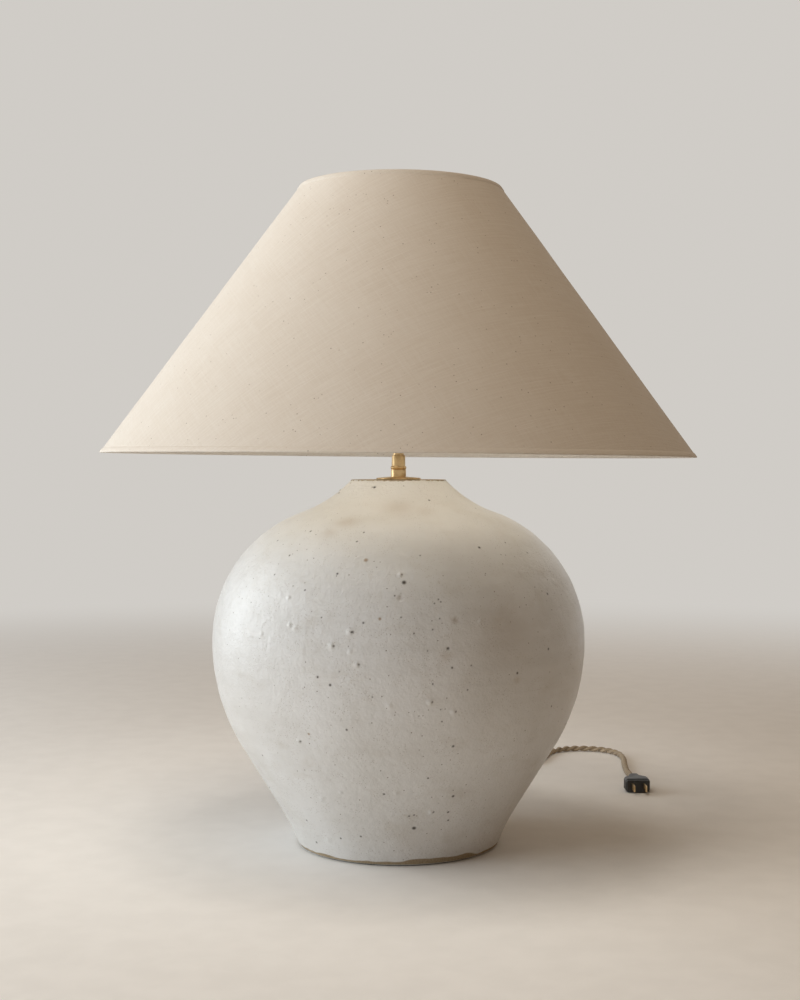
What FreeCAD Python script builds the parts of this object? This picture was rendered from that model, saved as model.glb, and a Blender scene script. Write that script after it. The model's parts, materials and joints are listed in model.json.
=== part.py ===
import FreeCAD, Part
import math
import os
import re
import Sketcher

# Ceramic table lamp: a hollow stoneware vessel clamped on a threaded rod, with a socket, a harp
# and a wide empire shade. Millimetres, +Z up, the origin where the lamp's axis meets the table,
# the front at -Y and the cord leaving the foot at +Y.

# Driving dimensions
DIMENSIONS = {
    # Felt ring under the foot
    "felt_thickness": 1.2,
    "felt_inset": 2.2,
    "felt_width": 8.0,
    # Vessel: heights are above the table, radii are to the glazed outside
    "foot_radius": 94.6,
    "foot_wall": 12.0,
    "foot_curve_height": 38.0,
    "foot_curve": 203.0,
    "belly_radius": 175.4,
    "belly_height": 192.4,
    "belly_spread_share": 0.3437,
    "belly_rise_share": 0.5101,
    "shoulder_spread_share": 0.649,
    "shoulder_rise_share": 0.794,
    "neck_radius": 45.4,
    "neck_height": 343.6,
    "neck_edge": 1.4,
    "neck_inner_radius": 36.0,
    "neck_bore": 14.0,
    "deck_thickness": 7.0,
    "wall": 7.0,
    "floor_bore": 6.0,
    "floor_thickness": 8.0,
    "exit_height": 14.0,
    "exit_bore": 6.0,
    "exit_seat": 0.9,
    # Threaded rod and what is clamped on it
    "rod_radius": 5.1,
    "rod_bore_gap": 0.7,
    "rod_chamfer": 0.6,
    "rod_end": 3.0,
    "rod_gap": 0.1,
    "rod_in_cap": 8.0,
    "wide_washer_radius": 19.0,
    "wide_washer_thickness": 1.6,
    "lock_washer_radius": 8.6,
    "lock_washer_thickness": 1.4,
    "lock_washer_angle": 345.0,
    "nut_wall": 1.95,
    "nut_thickness": 5.0,
    "thin_nut_thickness": 3.5,
    "nut_chamfer_angle": 30.0,
    # Brass on the neck
    "disc_radius": 21.0,
    "disc_edge": 1.6,
    "disc_round": 0.5,
    "disc_thickness": 2.6,
    "collar_wall": 1.95,
    "collar_height": 7.2,
    "bead_wall": 1.4,
    "bead_height": 2.9,
    "bead_curve": 1.6,
    "sleeve_foot_wall": 1.3,
    "sleeve_top_wall": 1.05,
    "sleeve_height": 10.4,
    "sleeve_chamfer": 0.5,
    # Harp and its saddle
    "rod_shown": 3.8,
    "saddle_thickness": 1.6,
    "saddle_width": 14.0,
    "saddle_flat": 17.0,
    "saddle_rise": 5.0,
    "saddle_overhang": 5.5,
    "harp_span": 28.6,
    "harp_half_width": 62.0,
    "harp_wire": 2.0,
    "harp_size": 229.0,
    "harp_leg": 32.0,
    "harp_flare": 42.0,
    "harp_bend": 16.0,
    "harp_top_bend": 44.0,
    "harp_eye": 7.5,
    "harp_eye_thickness": 4.2,
    "harp_flat_gap": 0.1,
    "prong_height": 8.0,
    "prong_gap": 0.6,
    "stud_radius": 3.15,
    "stud_head_lip": 1.85,
    "stud_head": 1.5,
    "stud_reach": 12.5,
    "stud_chamfer": 0.5,
    "stud_gap": 0.05,
    "harp_sleeve_wall": 1.81,
    "harp_sleeve_fit": 0.09,
    "harp_sleeve_length": 18.0,
    "harp_sleeve_lip": 0.6,
    "harp_sleeve_lip_height": 1.8,
    "harp_sleeve_gap": 0.3,
    # The shade and the harp stand a little out of true
    "shade_lean": 0.5,
    # Socket
    "cap_neck_wall": 2.4,
    "cap_neck_height": 8.5,
    "cap_shoulder_height": 14.0,
    "cap_shoulder_curve": 9.0,
    "cap_height": 21.0,
    "cap_wall": 0.8,
    "shell_wall": 0.6,
    "shell_gap": 0.05,
    "shell_bottom": 15.5,
    "shell_top": 58.0,
    "shell_rim": 0.9,
    "shell_rim_height": 1.6,
    "liner_wall": 0.8,
    "liner_margin": 2.0,
    "block_gap": 0.2,
    "block_bottom": 18.0,
    "block_top": 32.0,
    "block_rim": 1.0,
    "block_flat_depth": 4.3,
    "block_flat_top": 29.0,
    "screw_shell_wall": 0.5,
    "screw_shell_height": 24.0,
    "screw_shell_opening": 7.0,
    "contact_width": 5.0,
    "contact_thickness": 0.6,
    "contact_half_length": 5.0,
    "contact_rise": 2.6,
    "contact_step": 1.0,
    "terminal_height": 24.5,
    "terminal_radius": 3.2,
    "terminal_head": 2.0,
    "terminal_slot": 0.9,
    "terminal_slot_depth": 0.9,
    "terminal_shank": 1.6,
    "terminal_shank_length": 6.0,
    "terminal_gap": 0.05,
    # Turn switch
    "switch_height": 25.0,
    "switch_shaft": 1.6,
    "switch_hole": 2.6,
    "switch_inner": 4.0,
    "switch_end_gap": 1.0,
    "switch_knob_gap": 0.8,
    "switch_knob_length": 13.0,
    "switch_knob_radius": 6.0,
    "switch_knob_round": 1.2,
    "switch_knob_socket": 9.0,
    "switch_fit": 0.03,
    "switch_groove": 0.7,
    "switch_grooves": 12,
    # Bulb: heights are above the bulb's tip
    "bulb_gap": 0.2,
    "bulb_tip_radius": 4.2,
    "bulb_tip_height": 1.3,
    "bulb_insulator_radius": 9.6,
    "bulb_insulator_height": 4.2,
    "bulb_cap_radius": 13.3,
    "bulb_fit": 0.1,
    "bulb_cap_flare": 3.4,
    "bulb_cap_wall": 0.5,
    "bulb_cap_height": 26.5,
    "bulb_neck_step": 0.7,
    "bulb_neck_start": 19.0,
    "bulb_neck_end": 33.0,
    "bulb_radius": 30.0,
    "bulb_widest": 78.0,
    "bulb_glass_wall": 0.8,
    "stem_gap": 0.2,
    "stem_foot": 2.0,
    "stem_flare": 9.0,
    "stem_waist": 3.0,
    "stem_top": 60.0,
    "filament_radius": 0.35,
    "filament_root": 1.6,
    "filament_lead": 5.0,
    "filament_half_width": 13.0,
    "filament_bend_width": 7.8,
    "filament_middle_width": 2.6,
    "filament_height": 76.0,
    "filament_rise": 4.0,
    # Shade: radii and heights are to the fabric's outside
    "shade_bottom_radius": 277.4,
    "shade_height": 250.4,
    "shade_top_radius": 95.0,
    "fabric_thickness": 0.8,
    "liner_thickness": 0.5,
    "ring_wire": 1.5,
    "ring_seat": 0.05,
    "trim_thickness": 0.5,
    "trim_width": 5.0,
    "top_trim_lip": 1.6,
    "bottom_trim_lip": 4.4,
    "hub_radius": 11.0,
    "hub_thickness": 1.6,
    "hub_fit": 0.08,
    "arm_wire": 1.4,
    "arm_lift": 0.3,
    "arm_bend": 5.0,
    "arm_count": 3,
    "shade_drop": 12.7,
    # Finial
    "finial_gap": 0.1,
    "finial_base_radius": 6.5,
    "finial_base": 2.0,
    "finial_cove": 1.0,
    "finial_neck_radius": 4.6,
    "finial_ball": 7.5,
    "finial_ball_height": 12.0,
    "finial_bore_end": 1.0,
    "finial_fit": 0.05,
    # Leads and cord
    "lead_radius": 1.4,
    "lead_gap": 0.1,
    "lead_clear": 0.3,
    "lead_bend": 11.0,
    "lead_spread_start": 10.5,
    "lead_spread_end": 16.5,
    "cord_radius": 3.5,
    "cord_turn_gap": 0.5,
    "relief_bore_gap": 0.2,
    "relief_flange": 7.5,
    "relief_flange_thickness": 2.5,
    "relief_root": 6.0,
    "relief_end": 4.3,
    "relief_nose": 22.0,
    "relief_tail": 13.0,
    "relief_fit": 0.05,
    "relief_ring": 1.4,
    "relief_ring_depth": 0.7,
    "relief_rings": 4,
    "coil_x": 54.1,
    "coil_y": 215.0,
    "coil_radius": 46.6,
    "coil_turns": 5.157,
    "cord_first_run": 20.0,
    "tie_thickness": 0.8,
    "tie_width": 8.0,
    "tie_gap": 0.1,
    "tie_side_gap": 0.7,
    "tie_angle": -60.0,
    # Plug
    "plug_x": 261.0,
    "plug_back": 240.0,
    "plug_length": 34.0,
    "plug_nose_half_width": 6.0,
    "plug_nose": 9.0,
    "plug_shoulder": 18.0,
    "plug_half_width": 13.5,
    "plug_half_thickness": 7.6,
    "plug_round": 4.0,
    "plug_face_thickness": 2.0,
    "plug_face_inset": 1.4,
    "plug_grip_radius": 1.3,
    "plug_grip_start": 2.25,
    "plug_grip_spacing": 4.5,
    "plug_grip_offset": 0.65,
    "plug_grips": 4,
    "blade_spacing": 12.7,
    "blade_width": 6.3,
    "blade_thickness": 1.5,
    "blade_length": 17.0,
    "blade_hole": 1.6,
    "blade_hole_inset": 4.5,
    "blade_slot_gap": 0.05,
    # One overrun for every cut
    "overrun": 5.0,
}

# The cord's free points, between the grommet and the coil and between the coil and the plug
BASE_ROUTE = [(0, 139, 14), (3, 162, 7.5), (7.5, 186, 4.4)]
PLUG_ROUTE = [
    (78, 286, 6.5),
    (107, 305, 3.6),
    (136, 328, 3.6),
    (160, 356, 3.6),
    (177, 388, 3.6),
    (186, 422, 3.6),
    (204, 441, 3.6),
    (230, 446, 3.6),
    (255, 436, 3.6),
    (270, 413, 3.6),
    (271, 378, 3.6),
    (266, 341, 3.6),
    (263, 303, 3.8),
    (261, 263, 7.6),
]

doc = FreeCAD.newDocument("ceramic_table_lamp")
sheet = doc.addObject("Spreadsheet::Sheet", "Dims")
for row, (alias, number) in enumerate(DIMENSIONS.items(), start=1):
    sheet.set(f"A{row}", alias.replace("_", " "))
    sheet.set(f"B{row}", str(number))
    sheet.setAlias(f"B{row}", alias)
doc.recompute()

WORD = re.compile(r"[a-z][a-z_]*[a-z]")
nodes = []


def bound(text):
    """An expression on the sheet, from one written with bare names."""
    return WORD.sub(lambda m: f"Dims.{m[0]}" if m[0] in DIMENSIONS else m[0], f"{text}")


def value(text):
    """What an expression comes to."""
    found = sheet.evalExpression(bound(text))
    return float(getattr(found, "Value", found))


def point(x, y, z):
    return FreeCAD.Vector(value(x), value(y), value(z))


def unit(vector):
    return vector * (1 / vector.Length)


# Sketches


def plane_of(body, name):
    return next(f for f in body.Origin.OriginFeatures if f.Role == name)


def arc_centre(start, end, radius, side):
    """The centre of the short arc from start to end that turns left (side 1) or right (side -1)."""
    chord = end - start
    rise = math.sqrt(max(radius**2 - chord.Length**2 / 4, 0))
    left = FreeCAD.Vector(-chord.y, chord.x, 0) * (side / chord.Length)
    return (start + end) * 0.5 + left * rise


def sketch_on(body, name, plane, lift=None):
    made = body.newObject("Sketcher::SketchObject", name)
    made.AttachmentSupport = [(plane_of(body, plane), "")]
    made.MapMode = "FlatFace"
    if lift:
        made.setExpression("AttachmentOffset.Base.z", bound(lift))
    return made


def pin_down(made, geometry, which, x, y):
    """Holds one point of a sketch at a pair of expressions."""
    for kind, text, axis in (("DistanceX", x, -2), ("DistanceY", y, -1)):
        if abs(value(text)) < 1e-9:
            made.addConstraint(Sketcher.Constraint("PointOnObject", geometry, which, axis))
        else:
            held = Sketcher.Constraint(kind, -1, 1, geometry, which, value(text))
            made.setExpression(f"Constraints[{made.addConstraint(held)}]", bound(text))


def outline(made, corners, arcs=None, closed=True):
    """Sides through corners, each a pair of expressions. arcs gives, for the side after a corner,
    (radius, side) or "smooth" for an arc that carries on from the side before."""
    arcs = arcs or {}
    spots = [FreeCAD.Vector(value(x), value(y), 0) for x, y in corners]
    ends, heading = [], None
    for i in range(len(spots) if closed else len(spots) - 1):
        start, end = spots[i], spots[(i + 1) % len(spots)]
        if i not in arcs:
            ends.append((made.addGeometry(Part.LineSegment(start, end)), 1, 2))
            heading = unit(end - start)
            continue
        if arcs[i] == "smooth":
            chord = end - start
            left = FreeCAD.Vector(-heading.y, heading.x, 0)
            signed = chord.Length**2 / (2 * chord.dot(left))
            radius, side = abs(signed), math.copysign(1, signed)
            centre = start + left * signed
        else:
            radius, side = value(arcs[i][0]), arcs[i][1]
            centre = arc_centre(start, end, radius, side)
        first, last = (start, end) if side > 0 else (end, start)
        angles = [math.atan2(p.y - centre.y, p.x - centre.x) for p in (first, last)]
        if angles[1] < angles[0]:
            angles[1] += 2 * math.pi
        circle = Part.Circle(centre, FreeCAD.Vector(0, 0, 1), radius)
        number = made.addGeometry(Part.ArcOfCircle(circle, *angles))
        ends.append((number, 1, 2) if side > 0 else (number, 2, 1))
        spoke = end - centre
        heading = unit(FreeCAD.Vector(-spoke.y, spoke.x, 0) * side)
        if arcs[i] != "smooth":
            held = made.addConstraint(Sketcher.Constraint("Radius", number, radius))
            made.setExpression(f"Constraints[{held}]", bound(arcs[i][0]))
    for i, (number, start, _) in enumerate(ends):
        if i or closed:
            before, _, last = ends[i - 1]
            kind = "Tangent" if arcs.get(i) == "smooth" else "Coincident"
            made.addConstraint(Sketcher.Constraint(kind, before, last, number, start))
        pin_down(made, number, start, *corners[i])
    if not closed:
        number, _, last = ends[-1]
        pin_down(made, number, last, *corners[-1])


def rectangle(half_width, half_height):
    """The corners of a rectangle about the origin."""
    corners = (("-", "-"), ("", "-"), ("", ""), ("-", ""))
    return [(f"{x}({half_width})", f"{y}({half_height})") for x, y in corners]


def ring(made, x, y, radius):
    """A circle in a sketch, its centre and radius given as expressions."""
    up = FreeCAD.Vector(0, 0, 1)
    centre = FreeCAD.Vector(value(x), value(y), 0)
    number = made.addGeometry(Part.Circle(centre, up, value(radius)))
    pin_down(made, number, 3, x, y)
    held = made.addConstraint(Sketcher.Constraint("Radius", number, value(radius)))
    made.setExpression(f"Constraints[{held}]", bound(radius))


# Solids


def new_body(name):
    body = doc.addObject("PartDesign::Body", name)
    body.Label = name
    nodes.append(body)
    return body


def turn(body, corners, arcs=None, kind="Revolution", angle="360", label=None):
    """Turns an outline of (radius, height) corners about the body's Z axis."""
    label = label or f"{body.Name}_{kind}"
    made = sketch_on(body, f"{label}_outline", "XZ_Plane")
    outline(made, corners, arcs)
    feature = body.newObject(f"PartDesign::{kind}", label)
    feature.Profile = made
    feature.ReferenceAxis = (made, ["V_Axis"])
    feature.Angle = value(angle)
    feature.setExpression("Angle", bound(angle))
    made.Visibility = False
    return feature


def turned(name, corners, arcs=None, angle="360"):
    body = new_body(name)
    turn(body, corners, arcs, angle=angle)
    return body


def tube_corners(inner, outer, bottom, top):
    return [(inner, bottom), (outer, bottom), (outer, top), (inner, top)]


def pad(body, name, plane, shapes, length, kind="Pad", lift=None, reverse=False, middle=False):
    """Pads or pockets one sketch. shapes are calls that draw in it."""
    made = sketch_on(body, f"{name}_outline", plane, lift)
    for shape in shapes:
        shape(made)
    feature = body.newObject(f"PartDesign::{kind}", name)
    feature.Profile = made
    feature.Length = value(length)
    feature.setExpression("Length", bound(length))
    feature.Midplane = middle
    feature.Reversed = reverse
    made.Visibility = False
    return feature


def pipe(body, name, path, section, kind="AdditivePipe"):
    feature = body.newObject(f"PartDesign::{kind}", name)
    feature.Profile = section
    feature.Spine = (path, [])
    path.Visibility = section.Visibility = False
    return feature


def around(body, name, originals, count):
    """Repeats features about the body's Z axis."""
    feature = body.newObject("PartDesign::PolarPattern", name)
    feature.Originals = originals
    feature.Axis = (plane_of(body, "Z_Axis"), [""])
    feature.Angle = 360
    feature.Occurrences = int(value(count))
    feature.setExpression("Occurrences", bound(count))
    body.Tip = feature
    return feature


def place(body, x="0", y="0", z="0", axis=(0, 0, 1), angle="0"):
    """Puts a body where it goes, turned about its own origin."""
    turned_by = FreeCAD.Rotation(FreeCAD.Vector(*axis), value(angle))
    body.Placement = FreeCAD.Placement(point(x, y, z), turned_by)
    for side, text in (("x", x), ("y", y), ("z", z)):
        body.setExpression(f"Placement.Base.{side}", bound(text))
    if angle != "0":
        body.setExpression("Placement.Rotation.Angle", bound(angle))
    return body


# Tubes along a route
RUN_SHARE = 0.45

# A tube's own neighbourhood, which its least gap leaves out, in radii along it
NEAR_RADII = 12


def arc_edge(start, corner, end):
    """The arc that leaves start towards corner and comes to end from it, both as far from corner."""
    middle = (start + end) * 0.5
    half_chord = (end - start).Length / 2
    half_turn = math.pi / 2 - math.asin(min(1, half_chord / (corner - start).Length))
    inward = unit(corner - middle) * (half_chord * math.tan(half_turn / 2))
    return Part.Arc(start, middle + inward, end).toShape()


def route_edges(points, most=None):
    """Straight runs joined by tangent arcs as large as the runs allow, and the arcs' radii."""
    edges, radii, last = [], [], points[0]
    for before, here, after in zip(points, points[1:], points[2:]):
        reach = RUN_SHARE * min((here - before).Length, (after - here).Length)
        reach = min(reach, most or reach)
        start = here + unit(before - here) * reach
        end = here + unit(after - here) * reach
        radii.append(reach / math.tan(unit(here - before).getAngle(after - here) / 2))
        edges += [Part.LineSegment(last, start).toShape(), arc_edge(start, here, end)]
        last = end
    edges.append(Part.LineSegment(last, points[-1]).toShape())
    return edges, radii


def swept(edges, radius):
    """A round tube along edges."""
    start = edges[0].valueAt(edges[0].FirstParameter)
    towards = edges[0].tangentAt(edges[0].FirstParameter)
    section = Part.Wire(Part.Circle(start, towards, radius).toShape())
    tube = Part.Wire(edges).makePipeShell([section], True, False)
    length = sum(edge.Length for edge in edges)
    print(f"  tube volume over section times length: {tube.Volume / (math.pi * radius**2 * length):.4f}")
    return tube


def soft(name, shape):
    feature = doc.addObject("Part::Feature", name)
    feature.Label = name
    feature.Shape = shape
    feature.Placement = FreeCAD.Placement()
    nodes.append(feature)
    return feature


# Under the vessel's floor, up from the leads' bend
ROD_BOTTOM = "(exit_height + lead_bend)"
NUT_BOTTOM = f"({ROD_BOTTOM} + rod_end)"
LOCK_BOTTOM = f"({NUT_BOTTOM} + nut_thickness)"
WASHER_BOTTOM = f"({LOCK_BOTTOM} + lock_washer_thickness)"
FLOOR = f"({WASHER_BOTTOM} + wide_washer_thickness)"
EXIT_SEAT = "(foot_radius + exit_seat)"
LEAD_SPACING = "(lead_radius + lead_gap)"
ROD_BORE = f"({LEAD_SPACING} + lead_radius + rod_bore_gap)"
RELIEF_BORE = f"({LEAD_SPACING} + lead_radius + relief_bore_gap)"

# The vessel: the belly's arc below its widest place and the shoulder's above it, as shares of the
# way from the foot and to the neck
BELLY_SPREAD = "(belly_spread_share * (belly_radius - foot_radius))"
BELLY_RISE = "(belly_rise_share * belly_height)"
SHOULDER_SPREAD = "(shoulder_spread_share * (belly_radius - neck_radius))"
SHOULDER_RISE = "(shoulder_rise_share * (neck_height - belly_height))"


def upright_arc(spread, rise):
    """The radius of an arc that leaves the upright, spreads and rises so far, and the angle that it turns."""
    return f"(({spread}^2 + {rise}^2) / (2 * {spread}))", f"(2 * atan({spread} / {rise}))"


BELLY_CURVE, LOWER_ANGLE = upright_arc(BELLY_SPREAD, BELLY_RISE)
SHOULDER_CURVE, SHOULDER_ANGLE = upright_arc(SHOULDER_SPREAD, SHOULDER_RISE)
BELLY_START = (f"(belly_radius - {BELLY_SPREAD})", f"(belly_height - {BELLY_RISE})")
SHOULDER_END = (f"(belly_radius - {SHOULDER_SPREAD})", f"(belly_height + {SHOULDER_RISE})")


def wall_radius(height):
    """The outside radius of the straight lower wall at a height."""
    return f"({BELLY_START[0]} - ({BELLY_START[1]} - ({height})) * tan({LOWER_ANGLE}))"


def ceramic_body():
    floor_top = f"{FLOOR} + floor_thickness"
    inner_belly = (
        f"{BELLY_START[0]} - wall * cos({LOWER_ANGLE})",
        f"{BELLY_START[1]} + wall * sin({LOWER_ANGLE})",
    )
    inner_shoulder = (
        f"{SHOULDER_END[0]} - wall * cos({SHOULDER_ANGLE})",
        f"{SHOULDER_END[1]} - wall * sin({SHOULDER_ANGLE})",
    )
    inner_floor = f"{inner_belly[0]} - ({inner_belly[1]} - ({floor_top})) * tan({LOWER_ANGLE})"
    corners = [
        ("foot_radius - foot_wall", "felt_thickness"),
        ("foot_radius", "felt_thickness"),
        (wall_radius("foot_curve_height"), "foot_curve_height"),
        BELLY_START,
        ("belly_radius", "belly_height"),
        SHOULDER_END,
        ("neck_radius", "neck_height - neck_edge"),
        ("neck_radius - neck_edge", "neck_height"),
        ("neck_bore", "neck_height"),
        ("neck_bore", "neck_height - deck_thickness"),
        ("neck_inner_radius", "neck_height - deck_thickness"),
        inner_shoulder,
        ("belly_radius - wall", "belly_height"),
        inner_belly,
        (inner_floor, floor_top),
        ("floor_bore", floor_top),
        ("floor_bore", FLOOR),
        (f"{wall_radius(FLOOR)} - foot_wall / cos({LOWER_ANGLE})", FLOOR),
    ]
    arcs = {
        1: ("foot_curve", -1),
        3: (BELLY_CURVE, 1),
        4: (SHOULDER_CURVE, 1),
        5: "smooth",
        6: ("neck_edge", 1),
        11: (f"{SHOULDER_CURVE} - wall", -1),
        12: (f"{BELLY_CURVE} - wall", -1),
    }
    body = turned("ceramic_body", corners, arcs)
    bore = [lambda s: ring(s, "0", "exit_height", "exit_bore")]
    seat = [lambda s: ring(s, "0", "exit_height", "relief_flange + relief_fit")]
    reach = f"{wall_radius(FLOOR)} + overrun"
    pad(body, "cord_hole", "XZ_Plane", bore, reach, "Pocket")
    pad(body, "cord_hole_seat", "XZ_Plane", seat, f"{reach} - {EXIT_SEAT}", "Pocket", f"-{EXIT_SEAT}")
    return body


# The brass and the harp, up from the vessel's neck
ROD_HOLE = "(rod_radius + rod_gap)"
DISC_TOP = "(neck_height + disc_thickness)"
COLLAR_TOP = f"({DISC_TOP} + collar_height)"
BEAD_TOP = f"({COLLAR_TOP} + bead_height)"
SLEEVE_TOP = f"({BEAD_TOP} + sleeve_height)"
THIN_NUT_BOTTOM = f"({SLEEVE_TOP} + rod_shown)"
SADDLE_BOTTOM = f"({THIN_NUT_BOTTOM} + thin_nut_thickness)"
SADDLE_TOP = f"({SADDLE_BOTTOM} + saddle_thickness)"
SHELF_TOP = f"({SADDLE_TOP} + saddle_rise)"
PRONG_TOP = f"({SHELF_TOP} + prong_height)"
LEG_BOTTOM = f"({PRONG_TOP} + prong_gap)"
SEAT = f"({SADDLE_TOP} + harp_size)"
ROD_TOP = f"({SADDLE_TOP} + rod_in_cap)"
LEAN_HEIGHT = f"({SHELF_TOP} + prong_height / 2)"


def lean(body, x="0"):
    """Leans a piece with the harp, about the middle of the saddle's prongs. x is how far aside it stands."""
    base_x = f"{x} * cos(shade_lean) - {LEAN_HEIGHT} * sin(shade_lean)"
    base_z = f"{LEAN_HEIGHT} * (1 - cos(shade_lean)) - ({x}) * sin(shade_lean)"
    return place(body, base_x, "0", base_z, (0, 1, 0), "shade_lean")


# Foot, rod and the brass on the neck


def base_felt():
    outer = "foot_radius - felt_inset"
    turned("base_felt", tube_corners(f"{outer} - felt_width", outer, "0", "felt_thickness"))


def threaded_rod():
    corners = [
        (ROD_BORE, ROD_BOTTOM),
        ("rod_radius - rod_chamfer", ROD_BOTTOM),
        ("rod_radius", f"{ROD_BOTTOM} + rod_chamfer"),
        ("rod_radius", f"{ROD_TOP} - rod_chamfer"),
        ("rod_radius - rod_chamfer", ROD_TOP),
        (ROD_BORE, ROD_TOP),
    ]
    turned("threaded_rod", corners)


def washers():
    turned("bottom_washer", tube_corners(ROD_HOLE, "wide_washer_radius", WASHER_BOTTOM, FLOOR))
    split = tube_corners(ROD_HOLE, "lock_washer_radius", LOCK_BOTTOM, WASHER_BOTTOM)
    turned("lock_washer", split, angle="lock_washer_angle")


def hex_nut(name, bottom, thickness):
    """A hex nut, its corners chamfered on both faces."""
    body = new_body(name)
    flat = f"({ROD_HOLE} + nut_wall)"
    across = f"{flat} / cos(30)"
    corners = [(f"{across} * cos({angle})", f"{across} * sin({angle})") for angle in range(30, 390, 60)]
    shapes = [lambda s: outline(s, corners), lambda s: ring(s, "0", "0", ROD_HOLE)]
    pad(body, f"{name}_blank", "XY_Plane", shapes, thickness, lift=bottom)
    for k, (end, way) in enumerate(((bottom, "+"), (f"({bottom} + {thickness})", "-"))):
        rim = f"{flat} + overrun"
        corners = [(flat, end), (rim, end), (rim, f"{end} {way} overrun * tan(nut_chamfer_angle)")]
        turn(body, corners, kind="Groove", label=f"{name}_chamfer_{k + 1}")
    return body


def neck_brass():
    edge = "neck_height + disc_edge"
    collar, bead_root = f"{ROD_HOLE} + collar_wall", f"{ROD_HOLE} + bead_wall"
    sleeve_top = f"{ROD_HOLE} + sleeve_top_wall"
    corners = [
        (ROD_HOLE, "neck_height"),
        ("disc_radius - disc_round", "neck_height"),
        ("disc_radius", "neck_height + disc_round"),
        ("disc_radius", f"{edge} - disc_round"),
        ("disc_radius - disc_round", edge),
        (f"{collar} + disc_edge", DISC_TOP),
        (ROD_HOLE, DISC_TOP),
    ]
    turned("vase_cap", corners, {1: ("disc_round", 1), 3: ("disc_round", 1)})
    corners = [
        (ROD_HOLE, DISC_TOP),
        (collar, DISC_TOP),
        (collar, f"{COLLAR_TOP} - disc_round"),
        (bead_root, COLLAR_TOP),
        (bead_root, BEAD_TOP),
        (ROD_HOLE, BEAD_TOP),
    ]
    turned("neck_collar", corners, {3: ("bead_curve", 1)})
    corners = [
        (ROD_HOLE, BEAD_TOP),
        (f"{ROD_HOLE} + sleeve_foot_wall", BEAD_TOP),
        (sleeve_top, f"{SLEEVE_TOP} - sleeve_chamfer"),
        (f"{sleeve_top} - sleeve_chamfer", SLEEVE_TOP),
        (ROD_HOLE, SLEEVE_TOP),
    ]
    turned("neck_sleeve", corners)


# Harp


def harp_saddle():
    body = new_body("harp_saddle")
    rise_start, rise_end = "saddle_flat", "saddle_flat + saddle_rise"
    inset = "saddle_thickness * tan(22.5)"
    end = "harp_span + saddle_overhang"
    shelf = f"{SADDLE_BOTTOM} + saddle_rise"
    below = [(rise_start, SADDLE_BOTTOM), (rise_end, shelf), (end, shelf)]
    above = [(end, SHELF_TOP), (f"{rise_end} - {inset}", SHELF_TOP), (f"{rise_start} - {inset}", SADDLE_TOP)]
    right = below + above
    left = [(f"-({x})", z) for x, z in reversed(right)]
    strip = [lambda s: outline(s, right + left)]
    pad(body, "saddle_strip", "XZ_Plane", strip, "saddle_width", middle=True)
    hole = [lambda s: ring(s, "0", "0", ROD_HOLE)]
    pad(body, "saddle_hole", "XY_Plane", hole, "saddle_thickness + overrun", "Pocket", SADDLE_TOP)
    prongs = [lambda s, x=x: ring(s, x, "0", "harp_wire") for x in ("harp_span", "-harp_span")]
    pad(body, "saddle_prongs", "XY_Plane", prongs, "prong_height", lift=SHELF_TOP)


def harp():
    body = new_body("harp")
    corner_low = f"{LEG_BOTTOM} + harp_leg"
    corner_high = f"({corner_low} + (harp_half_width - harp_span) / tan(harp_flare))"
    bend = "harp_bend * tan(harp_flare / 2)"
    top = f"{SEAT} - harp_flat_gap - harp_wire"
    right = [
        ("harp_span", LEG_BOTTOM),
        ("harp_span", f"{corner_low} - {bend}"),
        (f"harp_span + {bend} * sin(harp_flare)", f"{corner_low} + {bend} * cos(harp_flare)"),
        (f"harp_half_width - {bend} * sin(harp_flare)", f"{corner_high} - {bend} * cos(harp_flare)"),
        ("harp_half_width", f"{corner_high} + {bend}"),
        ("harp_half_width", f"{top} - harp_top_bend"),
        ("harp_half_width - harp_top_bend", top),
    ]
    left = [(f"-({x})", z) for x, z in reversed(right)]
    path = sketch_on(body, "harp_path", "XZ_Plane")
    bends = {1: -1, 3: 1, 5: 1, 7: 1, 9: 1, 11: -1}
    arcs = {i: ("harp_top_bend" if i in (5, 7) else "harp_bend", side) for i, side in bends.items()}
    outline(path, right + left, arcs, closed=False)
    section = sketch_on(body, "harp_section", "XY_Plane", LEG_BOTTOM)
    ring(section, "harp_span", "0", "harp_wire")
    pipe(body, "harp_wire_loop", path, section)
    eye = [lambda s: ring(s, "0", "0", "harp_eye")]
    pad(body, "harp_eye", "XY_Plane", eye, "harp_eye_thickness", lift=f"{SEAT} - harp_eye_thickness")
    hole = [lambda s: ring(s, "0", "0", "stud_radius + stud_gap")]
    pad(body, "harp_eye_hole", "XY_Plane", hole, "harp_eye_thickness + overrun", "Pocket", SEAT)
    lean(body)


def harp_stud():
    head = f"{SEAT} - harp_eye_thickness"
    top = f"{SEAT} + stud_reach"
    corners = [
        ("0", f"{head} - stud_head"),
        ("stud_radius + stud_head_lip", f"{head} - stud_head"),
        ("stud_radius + stud_head_lip", head),
        ("stud_radius", head),
        ("stud_radius", f"{top} - stud_chamfer"),
        ("stud_radius - stud_chamfer", top),
        ("0", top),
    ]
    lean(turned("harp_stud", corners))


def harp_sleeve(name, side):
    bottom = f"{SHELF_TOP} + harp_sleeve_gap"
    bore = "harp_wire + harp_sleeve_fit"
    outside = f"{bore} + harp_sleeve_wall"
    lip = f"{outside} + harp_sleeve_lip"
    corners = [
        (bore, bottom),
        (lip, bottom),
        (lip, f"{bottom} + harp_sleeve_lip_height"),
        (outside, f"{bottom} + harp_sleeve_lip_height + harp_sleeve_lip"),
        (outside, f"{bottom} + harp_sleeve_length"),
        (bore, f"{bottom} + harp_sleeve_length"),
    ]
    lean(turned(name, corners), side)


# Socket, all of it above the saddle


def up(height):
    return f"({SADDLE_TOP} + {height})"


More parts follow.
